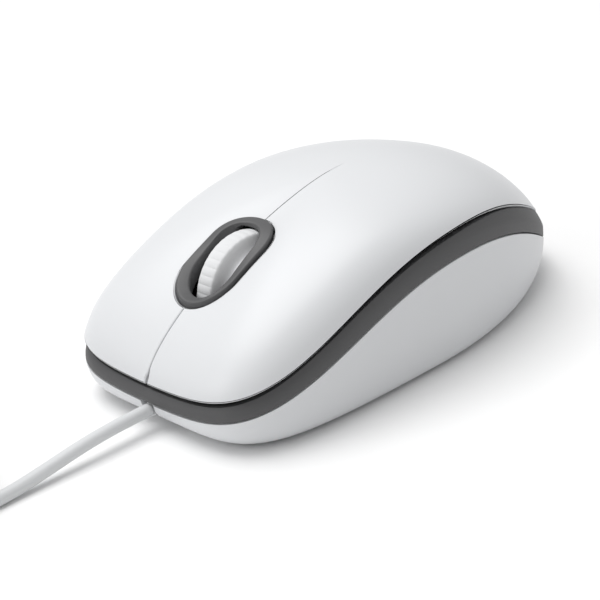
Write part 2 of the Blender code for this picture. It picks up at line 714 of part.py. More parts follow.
# ---- Scroll wheel ---------------------------------------------------------------------------
wheel_axis = axis_empty("scroll_wheel_axis", (0, WHEEL_Y, WHEEL_Z))
wheel_at = (0, WHEEL_Y, WHEEL_Z)
half = WHEEL_WIDTH / 2
AXLE_END = POST_INNER_X + POST_WALL + AXLE_OVERHANG
rim_radius = HUB_RADIUS - HUB_RIM
hub_profile = [(AXLE_RADIUS, AXLE_END), (AXLE_RADIUS, half), (HUB_BOSS_RADIUS, half)]
hub_profile.append((HUB_BOSS_RADIUS + HUB_BOSS_TAPER, HUB_WEB_HALF))
hub_profile.append((rim_radius - HUB_RIM_TAPER, HUB_WEB_HALF))
hub_profile += [(rim_radius, half - GAP), (HUB_RADIUS, half - GAP)]
hub_profile = [(r, -x) for r, x in hub_profile] + hub_profile[::-1]
hub = piece("wheel_hub", turned("wheel_hub", hub_profile, wheel_at, "x", 24), CLEAR, wheel_axis)
slots = []
for k in range(HUB_SLOTS):
    turn = 2 * math.pi * k / HUB_SLOTS
    y = WHEEL_Y + HUB_SLOT_ORBIT * math.cos(turn)
    z = WHEEL_Z + HUB_SLOT_ORBIT * math.sin(turn)
    slots.append(rod("slot", HUB_SLOT_RADIUS, -half, half, (0, y, z), "x", 6))
combine(hub, "DIFFERENCE", *slots)
tread = [(HUB_RADIUS + GAP, -half)]
for k in range(7):
    x = half * (k - 3) / 3
    tread.append((WHEEL_RADIUS - WHEEL_CROWN * (x / half) ** 2, x))
tread.append((HUB_RADIUS + GAP, half))
tyre_rings = []
for radius, x in tread:
    turns = [2 * math.pi * k / 40 for k in range(40)]
    tyre_rings.append([(x, WHEEL_Y + radius * math.cos(t), WHEEL_Z + radius * math.sin(t)) for t in turns])
piece("wheel_tyre", ring_mesh("wheel_tyre", tyre_rings, loop=True), PALE_RUBBER, wheel_axis)

# ---- Wheel carrier: a U-shaped frame that the axle turns in ---------------------------------
carrier_axis = axis_empty("wheel_carrier_axis", wheel_at)
CARRIER_LOW = BOARD_TOP + CARRIER_FLOOR
BEAM_TOP = CARRIER_LOW + CARRIER_BEAM
BAR_Y = WHEEL_Y + WHEEL_RADIUS + BAR_CLEARANCE
CARRIER_REAR = BAR_Y + BAR_THICKNESS
side_view = (
    (WHEEL_Y - EAR_HALF, CARRIER_LOW),
    (CARRIER_REAR, CARRIER_LOW),
    (CARRIER_REAR, BEAM_TOP),
    (WHEEL_Y + EAR_HALF, BEAM_TOP),
    (WHEEL_Y + EAR_HALF, WHEEL_Z + EAR_RISE),
    (WHEEL_Y - EAR_HALF, WHEEL_Z + EAR_RISE),
)
inner_x = WHEEL_WIDTH / 2 + CARRIER_SIDE_GAP
outer_x = inner_x + CARRIER_WALL


def carrier_side(side):
    return ring_mesh("side", [[(side * x, y, z) for y, z in side_view] for x in (inner_x, outer_x)])


carrier = piece("wheel_carrier", carrier_side(1), BLACK, carrier_axis)
MIDDLE_SWITCH_AT = (outer_x + 0.0030, CARRIER_REAR - 0.0058)
MIDDLE_PLUNGER_TOP = SEAT_Z + MIDDLE_SWITCH_SIZE[2] + 0.0009
bar = block("bar", (-outer_x + 0.0002, BAR_Y, CARRIER_LOW + 0.0002),
            (outer_x - 0.0002, CARRIER_REAR - 0.0002, BEAM_TOP - 0.0002))
toe = block("toe", (inner_x + 0.0005, MIDDLE_SWITCH_AT[1] - 0.002, MIDDLE_PLUNGER_TOP + GAP),
            (MIDDLE_SWITCH_AT[0] + 0.0020, MIDDLE_SWITCH_AT[1] + 0.002, BEAM_TOP - 0.0004))
combine(carrier, "UNION", bar)
combine(carrier, "UNION", carrier_side(-1))
combine(carrier, "UNION", toe)
combine(carrier, "DIFFERENCE", rod("bore", AXLE_RADIUS + AXLE_CLEARANCE, -FAR, FAR, wheel_at, "x"))

SPRING_WIRE = 0.00015
SPRING_RADIUS = 0.0011
SPRING_TURNS = 3
spring_low, spring_high = SEAT_Z + SPRING_WIRE, CARRIER_LOW - GAP - SPRING_WIRE
spring_y = (BAR_Y + CARRIER_REAR) / 2
helix = []
for k in range(8 * SPRING_TURNS + 1):
    turn = 2 * math.pi * k / 8
    climb = spring_low + (spring_high - spring_low) * k / (8 * SPRING_TURNS)
    helix.append((SPRING_RADIUS * math.cos(turn), spring_y + SPRING_RADIUS * math.sin(turn), climb))
spring = tube("carrier_spring", helix, SPRING_WIRE, STEEL, FAR)
spring.data.bevel_resolution = 0

# ---- Circuit board --------------------------------------------------------------------------
rear = BOARD_FRONT_Y + BOARD_LENGTH
w, c = BOARD_HALF_WIDTH, BOARD_CORNER
board_outline = (
    (-w + c, BOARD_FRONT_Y), (w - c, BOARD_FRONT_Y), (w, BOARD_FRONT_Y + c), (w, rear - c),
    (w - c, rear), (-w + c, rear), (-w, rear - c), (-w, BOARD_FRONT_Y + c),
)
board_rings = [[(x, y, z) for x, y in board_outline] for z in (BOARD_Z, BOARD_TOP)]
board = piece("circuit_board", ring_mesh("circuit_board", board_rings), BOARD_GREEN)
slot_x = POST_INNER_X + POST_WALL + GAP
# The slot clears the posts, and the wheel's chord at the board's top when it is pressed.
wheel_over_board = WHEEL_Z - CARRIER_TRAVEL - BOARD_TOP
wheel_chord = math.sqrt(max(0, WHEEL_RADIUS**2 - wheel_over_board**2))
slot_half = max(POST_HALF_LENGTH, wheel_chord) + BOARD_SLOT_MARGIN
holes = [block("slot", (-slot_x, WHEEL_Y - slot_half, 0), (slot_x, WHEEL_Y + slot_half, FAR))]
holes.append(rod("aperture", LENS_RADIUS + GAP, 0, FAR, (0, SENSOR_Y, 0), sides=12))
for _, side in SIDES:
    for (x, y), radius in ((BOARD_SCREW_AT, BOARD_SCREW_RADIUS), (BOARD_PIN_AT, PIN_RADIUS)):
        holes.append(rod("hole", radius + GAP, 0, FAR, (side * x, y, 0), sides=12))
combine(board, "DIFFERENCE", *holes)

# ---- Button switches, one under each button -------------------------------------------------
for hand, side in SIDES:
    spot = (side * SWITCH_X, SWITCH_Y)
    sx, sy, sz = SWITCH_SIZE
    piece(f"{hand}_switch_base", centred("base", spot, SEAT_Z, (sx, sy, SWITCH_BASE_HEIGHT)), BLACK)
    cover_z = SEAT_Z + SWITCH_BASE_HEIGHT + GAP
    cover_size = (sx, sy, SEAT_Z + sz - cover_z)
    cover = piece(f"{hand}_switch_cover", centred("cover", spot, cover_z, cover_size), PAPER)
    px, py, pz = SWITCH_PLUNGER
    plunger_z = SWITCH_TOP - pz
    well = (px + 2 * GAP, py + 2 * GAP, FAR)
    combine(cover, "DIFFERENCE", centred("well", spot, plunger_z - SWITCH_TRAVEL - GAP, well))
    seat = axis_empty(f"{hand}_plunger_axis", (*spot, plunger_z))
    piece(f"{hand}_switch_plunger", centred("plunger", spot, plunger_z, SWITCH_PLUNGER), BLACK, seat)

middle_x, middle_y = MIDDLE_SWITCH_AT
case = piece("middle_switch_case", centred("case", MIDDLE_SWITCH_AT, SEAT_Z, MIDDLE_SWITCH_SIZE), BLACK)
plunger_low = MIDDLE_PLUNGER_TOP - MIDDLE_PLUNGER_HEIGHT
well = rod("well", MIDDLE_PLUNGER_RADIUS + SLIDE_GAP, plunger_low - CARRIER_TRAVEL - GAP / 3, FAR,
           (middle_x, middle_y, 0), sides=12)
combine(case, "DIFFERENCE", well)
seat = axis_empty("middle_plunger_axis", (middle_x, middle_y, plunger_low))
cap = rod("cap", MIDDLE_PLUNGER_RADIUS, plunger_low, MIDDLE_PLUNGER_TOP, (middle_x, middle_y, 0), sides=12)
piece("middle_switch_plunger", cap, PALE_RUBBER, seat)

# ---- Optical sensor, its lens and its lamp --------------------------------------------------
piece("sensor_chip", centred("chip", (0, SENSOR_Y), SEAT_Z, SENSOR_SIZE), BLACK)
plate = centred("plate", (0, SENSOR_Y + 0.0025), FLOOR_TOP + GAP, LENS_PLATE)
lens = piece("sensor_lens", plate, CLEAR)
dome = rod("dome", LENS_RADIUS, FLOOR_TOP + GAP + 0.0006, BOARD_Z - GAP, (0, SENSOR_Y, 0), sides=12)
combine(lens, "UNION", dome)
led_y = SENSOR_Y + LED_SETBACK
led_z = SEAT_Z + LED_RADIUS + 0.0006
led_profile = ((LED_RADIUS * 0.5, 0), (LED_RADIUS * 0.9, 0.0006), (LED_RADIUS, 0.0016))
led_profile += ((LED_RADIUS, LED_LENGTH - 0.001), (LED_RADIUS + 0.0004, LED_LENGTH - 0.001))
led_profile += ((LED_RADIUS + 0.0004, LED_LENGTH),)
piece("sensor_led", turned("sensor_led", led_profile, (0, led_y, led_z), "y", 14), CLEAR)
clip_y = led_y + LED_LENGTH - 0.001 - GAP - CLIP_SIZE[1] / 2
clip = piece("led_clip", centred("clip", (0, clip_y), SEAT_Z, CLIP_SIZE), BLACK)
combine(clip, "DIFFERENCE", rod("bore", LED_RADIUS + GAP, -FAR, FAR, (0, clip_y, led_z), "y", 14))

# ---- Wheel encoder: a lamp and a receiver that look through the hub's slots -----------------
for name, side, finish in (("ir_emitter", 1, CLEAR), ("ir_receiver", -1, BLACK)):
    spot = (side * BEAM_X, WHEEL_Y - HUB_SLOT_ORBIT)
    low = WHEEL_Z - PHOTO_SIZE[2] / 2
    body = piece(name, centred(name, spot, low, PHOTO_SIZE), finish)
    for lead in (-1, 1):
        root = (spot[0], spot[1] + lead * 0.00127)
        pin = centred("pin", root, SEAT_Z, (LEAD_WIDTH, LEAD_WIDTH, low + 0.001 - SEAT_Z))
        combine(body, "UNION", pin)

can = ((CAPACITOR_RADIUS, SEAT_Z), (CAPACITOR_RADIUS, SEAT_Z + CAPACITOR_HEIGHT))
piece("capacitor", turned("capacitor", can, (*CAPACITOR_AT, 0), sides=14), BLACK)

# ---- Cable entry: grommet, wires, socket and header -----------------------------------------
block_low = (-0.0029, NOSE_Y + 0.0050, FLOOR_TOP + GAP)
block_high = (0.0029, NOSE_Y + 0.0070, 0.0075)
grommet = piece("cable_grommet", block("cable_grommet", block_low, block_high), CORD)
neck = rod("neck", GROMMET_RADIUS, GROMMET_FACE_Y, NOSE_Y + 0.006, (0, 0, CABLE_Z), "y", 12)
combine(grommet, "UNION", neck)
header_low = (HEADER_X, HEADER_Y)
piece("board_header", centred("header", header_low, SEAT_Z, HEADER_SIZE), PAPER)
socket_y = HEADER_Y - HEADER_SIZE[1] / 2 - GAP - SOCKET_SIZE[1] / 2
piece("cable_socket", centred("socket", (HEADER_X, socket_y), SEAT_Z + 0.0001, SOCKET_SIZE), PAPER)
wire_end_y = socket_y - SOCKET_SIZE[1] / 2 - GAP


def wire_route(across, up):
    """The common route of the four wires, moved across and up by a wire's own place."""
    start_z = CABLE_Z + WIRE_START_RISE
    end_z = SEAT_Z + WIRE_END_RISE
    middle = []
    for share, y, climb in WIRE_ROUTE:
        middle.append(Vector((share * HEADER_X, NOSE_Y + y, start_z + climb * (end_z - start_z))))
    middle.append(Vector((HEADER_X, wire_end_y, end_z)))
    found = []
    for k, p in enumerate(middle):
        ahead = middle[min(k + 1, len(middle) - 1)] - middle[max(k - 1, 0)]
        aside = Vector((ahead.y, -ahead.x, 0)).normalized()
        above = aside.cross(ahead).normalized()
        found.append(p + aside * across + above * up)
    return found


wires = (("wire_red", -1, 1, RED), ("wire_white", 1, 1, PAPER), ("wire_green", -1, -1, GREEN),
         ("wire_black", 1, -1, BLACK))
for name, across, up, finish in wires:
    route = wire_route(across * WIRE_PITCH / 2, up * WIRE_PITCH / 2)
    tube(name, route, WIRE_RADIUS, finish, 0.003).data.bevel_resolution = 1

# ---- Feet, label and screws -----------------------------------------------------------------
feet = [("front", FRONT_FEET_AT), ("rear", REAR_FEET_AT)]
for end, (x, y) in feet:
    for hand, side in SIDES:
        spots = stadium(FOOT_HALF[0], FOOT_HALF[1], 16)
        rings = [[(side * x + b, y + a, z) for a, b in spots] for z in (0, FOOT_THICKNESS)]
        piece(f"{end}_{hand}_foot", ring_mesh("foot", rings), BLACK)
label_size = (*LABEL_SIZE, LABEL_THICKNESS)
piece("rating_label", centred("rating_label", (0, LABEL_Y), BASE_Z, label_size), PAPER)
for hand, side in SIDES:
    spot = (side * BOARD_SCREW_AT[0], BOARD_SCREW_AT[1], 0)
    steps = ((BOARD_SCREW_RADIUS, FLOOR_TOP + GAP), (BOARD_SCREW_RADIUS, SEAT_Z))
    steps += ((BOARD_HEAD_RADIUS, SEAT_Z), (BOARD_HEAD_TOP_RADIUS, SEAT_Z + BOARD_HEAD_HEIGHT))
    piece(f"{hand}_board_screw", turned("screw", steps, spot, sides=12), STEEL)
    spot = (side * CASE_SCREW_AT[0], CASE_SCREW_AT[1], 0)
    head_z = COUNTERBORE_Z - GAP
    steps = ((CASE_HEAD_RADIUS, head_z - CASE_HEAD_HEIGHT), (CASE_HEAD_RADIUS, head_z))
    steps += ((CASE_SCREW_RADIUS, head_z), (CASE_SCREW_RADIUS, CASE_POST_FOOT + CASE_SCREW_BITE))
    piece(f"{hand}_case_screw", turned("screw", steps, spot, sides=12), STEEL)

# ---- Cable, coil, tie and plug --------------------------------------------------------------
tube("cable", CABLE_ROUTE, CABLE_DIAMETER / 2, CORD, 0.006)
bundle = COIL_TURNS_ACROSS * CABLE_DIAMETER
coil_half = bundle / 2
chamfer = 0.0012


def coil_section(half_width, low, high, cut):
    """A bundle's section as (radius, height) pairs, its corners cut off."""
    a, b = COIL_MEAN_RADIUS - half_width, COIL_MEAN_RADIUS + half_width
    return [(a + cut, low), (b - cut, low), (b, low + cut), (b, high - cut),
            (b - cut, high), (a + cut, high), (a, high - cut), (a, low + cut)]


coil_rings = []
for k in range(40):
    turn = 2 * math.pi * k / 40
    ring = []
    for radius, z in coil_section(coil_half, COIL_LIFT, COIL_LIFT + bundle, chamfer):
        ring.append((COIL_CENTRE[0] + radius * math.cos(turn),
                     COIL_CENTRE[1] + radius * math.sin(turn), z))
    coil_rings.append(ring)
piece("cable_coil", ring_mesh("cable_coil", coil_rings, loop=True), CORD)
tie_rings = []
room = GAP
for grow, shift in ((TIE_THICKNESS, -1), (TIE_THICKNESS, 1), (0, 1), (0, -1)):
    ring = []
    reach = coil_half + room + grow
    low = COIL_LIFT - room - grow
    high = COIL_LIFT + bundle + room + grow
    for radius, z in coil_section(reach, low, high, chamfer):
        ahead = shift * TIE_WIDTH / 2
        ring.append((COIL_CENTRE[0] + radius * math.cos(TIE_ANGLE) - ahead * math.sin(TIE_ANGLE),
                     COIL_CENTRE[1] + radius * math.sin(TIE_ANGLE) + ahead * math.cos(TIE_ANGLE), z))
    tie_rings.append(ring)
piece("cable_tie", ring_mesh("cable_tie", tie_rings, loop=True), BLACK)
tube("cable_tail", TAIL_ROUTE, CABLE_DIAMETER / 2, CORD, 0.006)

plug_x, plug_start, plug_z = TAIL_ROUTE[-1]
plug_start -= GAP


def plug_ring(y, half_width, half_height, power=4.0, count=20):
    """A rounded-box section of the plug, as a superellipse."""
    ring = []
    for k in range(count):
        turn = 2 * math.pi * (k + 0.5) / count
        cos, sin = math.cos(turn), math.sin(turn)
        x = half_width * math.copysign(abs(cos) ** (2 / power), cos)
        z = half_height * math.copysign(abs(sin) ** (2 / power), sin)
        ring.append((plug_x + x, plug_start - y, plug_z + z))
    return ring


body_half, body_high = PLUG_BODY[0] / 2, PLUG_BODY[2] / 2
sections = [plug_ring(0, 0.0020, 0.0020, 2.0), plug_ring(PLUG_NECK, 0.0028, 0.0028, 2.0)]
for step, share in ((0.0, 0.82), (0.0018, 0.97), (0.0035, 1.0)):
    sections.append(plug_ring(PLUG_NECK + 0.0003 + step, body_half * share, body_high * share))
sections.append(plug_ring(PLUG_NECK + PLUG_BODY[1] - 0.0006, body_half, body_high))
sections.append(plug_ring(PLUG_NECK + PLUG_BODY[1], body_half * 0.95, body_high * 0.93))
piece("plug_overmould", ring_mesh("plug_overmould", sections), CORD)
shell_start = PLUG_NECK + PLUG_BODY[1] + GAP
shell_end = shell_start + PLUG_SHELL[1]
shell_half, shell_high = PLUG_SHELL[0] / 2, PLUG_SHELL[2] / 2
sections = []
for y, wall in ((shell_start, 0), (shell_end, 0), (shell_end, PLUG_WALL), (shell_start, PLUG_WALL)):
    sections.append(plug_ring(y, shell_half - wall, shell_high - wall, 12.0, 12))
piece("plug_shell", ring_mesh("plug_shell", sections, loop=True), STEEL)
tongue_y = plug_start - shell_start - PLUG_TONGUE[1] / 2 - GAP
tongue_z = plug_z - shell_high + PLUG_WALL + GAP
tongue_size = PLUG_TONGUE
piece("plug_insert", centred("plug_insert", (plug_x, tongue_y), tongue_z, tongue_size), PAPER)
for k in range(4):
    across = plug_x + (k - 1.5) * 0.0024
    contact_z = tongue_z + PLUG_TONGUE[2] + GAP * 0.6
    contact = centred("contact", (across, tongue_y), contact_z, (0.0012, 0.0090, 0.0002))
    piece(f"plug_contact_{k + 1}", contact, GOLD)
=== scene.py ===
import math

import bmesh
import bpy
import numpy as np
from mathutils import Matrix, Vector


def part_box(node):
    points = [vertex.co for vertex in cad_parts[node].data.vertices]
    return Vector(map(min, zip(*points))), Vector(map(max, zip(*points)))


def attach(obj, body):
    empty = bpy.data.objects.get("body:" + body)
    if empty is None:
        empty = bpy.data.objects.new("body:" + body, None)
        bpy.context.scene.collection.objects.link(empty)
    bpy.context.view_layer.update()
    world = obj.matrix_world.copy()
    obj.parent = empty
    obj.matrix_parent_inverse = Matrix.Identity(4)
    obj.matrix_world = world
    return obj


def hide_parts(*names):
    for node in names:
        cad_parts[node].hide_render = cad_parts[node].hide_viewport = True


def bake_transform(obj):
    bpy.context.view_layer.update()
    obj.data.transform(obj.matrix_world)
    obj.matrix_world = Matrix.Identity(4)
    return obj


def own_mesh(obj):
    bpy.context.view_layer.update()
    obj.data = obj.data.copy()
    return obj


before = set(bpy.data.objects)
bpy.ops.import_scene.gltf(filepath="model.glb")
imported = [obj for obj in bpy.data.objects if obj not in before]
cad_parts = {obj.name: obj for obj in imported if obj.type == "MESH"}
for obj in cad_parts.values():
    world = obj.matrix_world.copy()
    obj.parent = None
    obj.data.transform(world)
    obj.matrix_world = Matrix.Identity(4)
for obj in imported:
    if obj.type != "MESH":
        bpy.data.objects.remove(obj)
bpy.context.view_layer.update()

# ---- Table, light and camera ---------------------------------------------------------------
# A plain pale table top that runs back out of sight, lit by a big soft overhead source and
# a gentle fill from ahead, and a long lens a little above the nose on the mouse's left.
TABLE_HALF = 3.0
LOOK_AT = Vector((-0.00019, -0.01258, 0.012))
TOWARDS_CAMERA = Vector((0.68323, -0.59691, 0.42059))
CAMERA_UP = Vector((-0.24898, 0.35104, 0.90265))
CAMERA_DISTANCE = 0.41196
LENS_MM = 115.4

eye = bpy.data.objects.new("camera", bpy.data.cameras.new("camera"))
eye.data.lens = LENS_MM
eye.data.sensor_width = 36
eye.data.clip_start = 0.01
to_right = CAMERA_UP.cross(TOWARDS_CAMERA).normalized()
level_up = TOWARDS_CAMERA.cross(to_right).normalized()
turned_to = Matrix((to_right, level_up, TOWARDS_CAMERA.normalized())).transposed().to_4x4()
eye.matrix_world = Matrix.Translation(LOOK_AT + CAMERA_DISTANCE * TOWARDS_CAMERA) @ turned_to
bpy.context.scene.collection.objects.link(eye)
bpy.context.scene.camera = eye


def soft_light(name, place, size, watts):
    """A square area light of a size, aimed at the middle of the mouse."""
    lamp = bpy.data.objects.new(name, bpy.data.lights.new(name, "AREA"))
    lamp.data.size = size
    lamp.data.energy = watts
    lamp.location = place
    aim = (Vector((0, 0, 0.015)) - Vector(place)).to_track_quat("-Z", "Y")
    lamp.rotation_euler = aim.to_euler()
    bpy.context.scene.collection.objects.link(lamp)


soft_light("overhead", (-0.32, -0.08, 1.1), size=1.0, watts=11.0)
soft_light("nose_fill", (-0.4, -1.0, 0.6), size=0.6, watts=2.4)

sky = bpy.data.worlds.new("studio")
sky.use_nodes = True
sky.node_tree.nodes["Background"].inputs["Color"].default_value = (1.0, 1.0, 1.0, 1)
sky.node_tree.nodes["Background"].inputs["Strength"].default_value = 0.47
bpy.context.scene.world = sky
bpy.context.scene.view_settings.view_transform = "Standard"


def finish(name, colour, roughness, *, metallic=0.0, grain=900.0, grain_height=0.00002,
           tone=0.03, tone_scale=60.0, rough_swing=0.05, **sockets):
    """A moulded or drawn surface: a colour that drifts a little by a broad noise, a fine
    grain as bump from a small noise, and a roughness that swings about its middle value."""
    made = bpy.data.materials.new(name)
    made.use_nodes = True
    tree = made.node_tree
    shader = tree.nodes["Principled BSDF"]
    shader.inputs["Metallic"].default_value = metallic
    for socket, value in sockets.items():
        shader.inputs[socket.replace("_", " ").title().replace("Ior", "IOR")].default_value = value
    place = tree.nodes.new("ShaderNodeTexCoord")
    broad = tree.nodes.new("ShaderNodeTexNoise")
    broad.inputs["Scale"].default_value = tone_scale
    broad.inputs["Detail"].default_value = 4
    tree.links.new(place.outputs["Object"], broad.inputs["Vector"])
    mix = tree.nodes.new("ShaderNodeMix")
    mix.data_type = "RGBA"
    mix.inputs["A"].default_value = (*[c * (1 - tone) for c in colour], 1)
    mix.inputs["B"].default_value = (*[min(1, c * (1 + tone)) for c in colour], 1)
    tree.links.new(broad.outputs["Fac"], mix.inputs["Factor"])
    tree.links.new(mix.outputs["Result"], shader.inputs["Base Color"])
    fine = tree.nodes.new("ShaderNodeTexNoise")
    fine.inputs["Scale"].default_value = grain
    fine.inputs["Detail"].default_value = 3
    tree.links.new(place.outputs["Object"], fine.inputs["Vector"])
    swing = tree.nodes.new("ShaderNodeMapRange")
    swing.inputs["To Min"].default_value = max(0.02, roughness - rough_swing)
    swing.inputs["To Max"].default_value = min(1, roughness + rough_swing)
    tree.links.new(fine.outputs["Fac"], swing.inputs["Value"])
    tree.links.new(swing.outputs["Result"], shader.inputs["Roughness"])
    bump = tree.nodes.new("ShaderNodeBump")
    bump.inputs["Strength"].default_value = 1.0
    bump.inputs["Distance"].default_value = grain_height
    tree.links.new(fine.outputs["Fac"], bump.inputs["Height"])
    tree.links.new(bump.outputs["Normal"], shader.inputs["Normal"])
    return made


def surface(name, points, faces, material=None, sharp_angle=None):
    """A mesh object of an array of points and a list of faces, smooth but for edges that
    turn by more than the sharp angle."""
    mesh = bpy.data.meshes.new(name)
    faces = faces.tolist() if isinstance(faces, np.ndarray) else faces
    mesh.from_pydata(np.asarray(points).reshape(-1, 3).tolist(), [], faces)
    mesh.shade_smooth()
    if sharp_angle is not None:
        mesh.set_sharp_from_angle(angle=math.radians(sharp_angle))
    if material is not None:
        mesh.materials.append(material)
    made = bpy.data.objects.new(name, mesh)
    bpy.context.scene.collection.objects.link(made)
    return made


table_corners = [(-TABLE_HALF, -TABLE_HALF, 0), (TABLE_HALF, -TABLE_HALF, 0),
                 (TABLE_HALF, TABLE_HALF, 0), (-TABLE_HALF, TABLE_HALF, 0)]
table_lacquer = finish("table_lacquer", (0.93, 0.93, 0.93), 0.6, tone=0.01, grain_height=0.00001)
table = surface("table_top", table_corners, [(0, 1, 2, 3)], table_lacquer)

# ---- Cable ---------------------------------------------------------------------------------
# A soft round cord with a pale jacket. It leaves the nose straight, sags on to the table and
# is wound into a tied coil, four turns across and four high. Its end goes over to the plug.
CORD_DIAMETER = 0.0028
COIL_CENTRE = (-0.021, -0.112)
COIL_MEAN_RADIUS = 0.0168
COIL_LIFT = 0.0007
TURNS_ACROSS = 4
LAYERS = 4
POINTS_PER_TURN = 40
ROUTE_SPACING = 0.0012
LEAD_ROUTE = (
    (0.0, -0.0560, 0.00440), (0.0, -0.0600, 0.00438), (0.0, -0.0660, 0.00425),
    (0.0, -0.0720, 0.00385), (0.0, -0.0780, 0.00315), (0.0, -0.0840, 0.00235),
    (0.0, -0.0900, 0.00170), (0.0, -0.0960, 0.00150), (0.0, -0.1008, 0.00165),
    (0.0, -0.1060, 0.00195),
)
TAIL_ROUTE = (
    (-0.0420, -0.1060, 0.01115), (-0.0420, -0.1001, 0.01230), (-0.0412, -0.0965, 0.01290),
    (-0.0388, -0.0932, 0.01365), (-0.0352, -0.0915, 0.01445), (-0.0314, -0.0915, 0.01515),
    (-0.0282, -0.0932, 0.01565), (-0.0260, -0.0963, 0.01600), (-0.0250, -0.1000, 0.01620),
)


def ease(t):
    """0 before the start, 1 after the end, and a smooth step between."""
    t = np.clip(t, 0, 1)
    return t * t * (3 - 2 * t)


def winding():
    """The coil's line. The columns run outermost to innermost and back, layer by layer. In
    each turn, the cord moves one column between 240 and 300 degrees, or climbs one layer
    between 300 and 350 degrees where the column stays the same."""
    slots = []
    for layer in range(LAYERS):
        columns = range(TURNS_ACROSS) if layer % 2 == 0 else range(TURNS_ACROSS - 1, -1, -1)
        slots += [(column, layer) for column in columns]
    turn = np.arange(0, 360 * (len(slots) - 0.5) + 1e-6, 360 / POINTS_PER_TURN)
    number = np.minimum((turn // 360).astype(int), len(slots) - 1)
    within = turn - 360 * number
    column, layer = np.array(slots).T
    after = np.minimum(number + 1, len(slots) - 1)
    at_column = column[number] + (column[after] - column[number]) * ease((within - 240) / 60)
    at_layer = layer[number] + (layer[after] - layer[number]) * ease((within - 300) / 50)
    radius = COIL_MEAN_RADIUS + ((TURNS_ACROSS - 1) / 2 - at_column) * CORD_DIAMETER
    height = COIL_LIFT + (at_layer + 0.5) * CORD_DIAMETER
    angle = -np.radians(turn)
    x = COIL_CENTRE[0] + radius * np.cos(angle)
    return np.stack([x, COIL_CENTRE[1] + radius * np.sin(angle), height], -1)


def flowing(route):
    """Points about the route spacing apart on the Catmull-Rom curve through a route."""
    fixed = np.array(route)
    ends = np.vstack([2 * fixed[0] - fixed[1], fixed, 2 * fixed[-1] - fixed[-2]])
    found = []
    for a, b, c, d in zip(ends[:-3], ends[1:-2], ends[2:-1], ends[3:]):
        steps = max(2, round(np.linalg.norm(c - b) / ROUTE_SPACING))
        t = np.linspace(0, 1, steps, endpoint=False)[:, None]
        pull = (c - a) * t + (2 * a - 5 * b + 4 * c - d) * t**2 + (3 * b - a - 3 * c + d) * t**3
        found.append(b + 0.5 * pull)
    return np.vstack([*found, fixed[-1:]])


cord_line = np.vstack([flowing(LEAD_ROUTE), winding(), flowing(TAIL_ROUTE)])
cord_curve = bpy.data.curves.new("cable_cord", "CURVE")
cord_curve.dimensions = "3D"
cord_curve.bevel_depth = CORD_DIAMETER / 2
cord_curve.bevel_resolution = 5
cord_curve.use_fill_caps = True
strand = cord_curve.splines.new("POLY")
strand.points.add(len(cord_line) - 1)
strand.points.foreach_set("co", np.column_stack([cord_line, np.ones(len(cord_line))]).ravel())
cord = bpy.data.objects.new("cable_cord", cord_curve)
bpy.context.scene.collection.objects.link(cord)
cord_jacket = finish("cord_jacket", (0.66, 0.67, 0.68), 0.5, grain=1500, grain_height=0.000015,
                     tone=0.02, sheen_weight=0.1)
cord_curve.materials.append(cord_jacket)
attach(cord, "case")
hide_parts("cable", "cable_coil", "cable_tail")

# ---- Case skin -----------------------------------------------------------------------------
# One smooth skin runs over the whole case. Two lines round it, the top and the foot of the
# trim band, divide it into the cover, the band and the bottom shell, which are moulded apart.
SKIN_LENGTH = 0.113
SKIN_WIDTH = 0.0624
WIDEST_Y = -0.0004
NOSE_SQUARENESS, TAIL_SQUARENESS = 5.1, 2.03
CROWN = (0.0, -0.0006, 0.0379)
CROWN_TILT = 0.08
BASE_Z = 0.0008
BAND_TOP = (0.0099, 0.0135, 0.0245, 0.0294, 0.0210, 0.0105)
BAND_FOOT = (0.0061, 0.0091, 0.0188, 0.0236, 0.0143, 0.0040)
SIDE_RISE = (0.0140, 0.0137, 0.0035, 0.0016)
SHOULDER = (0.29, 0.52, 0.82, 0.79)
BASE_INSET = (0.0086, 0.0051, 0.0022, 0.0040, 0.0062)
WAIST_SHARE, FLANK_DROP, FLANK_TUCK = 0.4, 0.54, 0.81
WHEEL_HOLE_Y = -0.0320


def along(share, stations):
    """A sum of cosines through stations spaced evenly from the nose (0) to the tail (1)."""
    waves = np.arange(len(stations))
    weights = np.linalg.solve(np.cos(math.pi * np.outer(np.linspace(0, 1, len(stations)), waves)),
                              stations)
    return np.cos(math.pi * np.abs(share)[..., None] * waves) @ weights


def outline(share):
    """The plan outline by share of its length from nose to tail: half a superellipse at the
    nose and half another at the tail, walked at an even pace."""
    turn = np.linspace(0, math.pi, 6000)
    power = 2 / np.where(np.cos(turn) > 0, NOSE_SQUARENESS, TAIL_SQUARENESS)
    reach = np.abs(np.cos(turn)) ** power
    x = SKIN_WIDTH / 2 * np.abs(np.sin(turn)) ** power
    ahead, behind = WIDEST_Y + SKIN_LENGTH / 2, SKIN_LENGTH / 2 - WIDEST_Y
    y = WIDEST_Y + np.where(np.cos(turn) > 0, -ahead * reach, behind * reach)
    walked = np.r_[0, np.cumsum(np.hypot(np.diff(x), np.diff(y)))]
    place = np.abs(share) * walked[-1]
    return np.interp(place, walked, x) * np.sign(share), np.interp(place, walked, y)


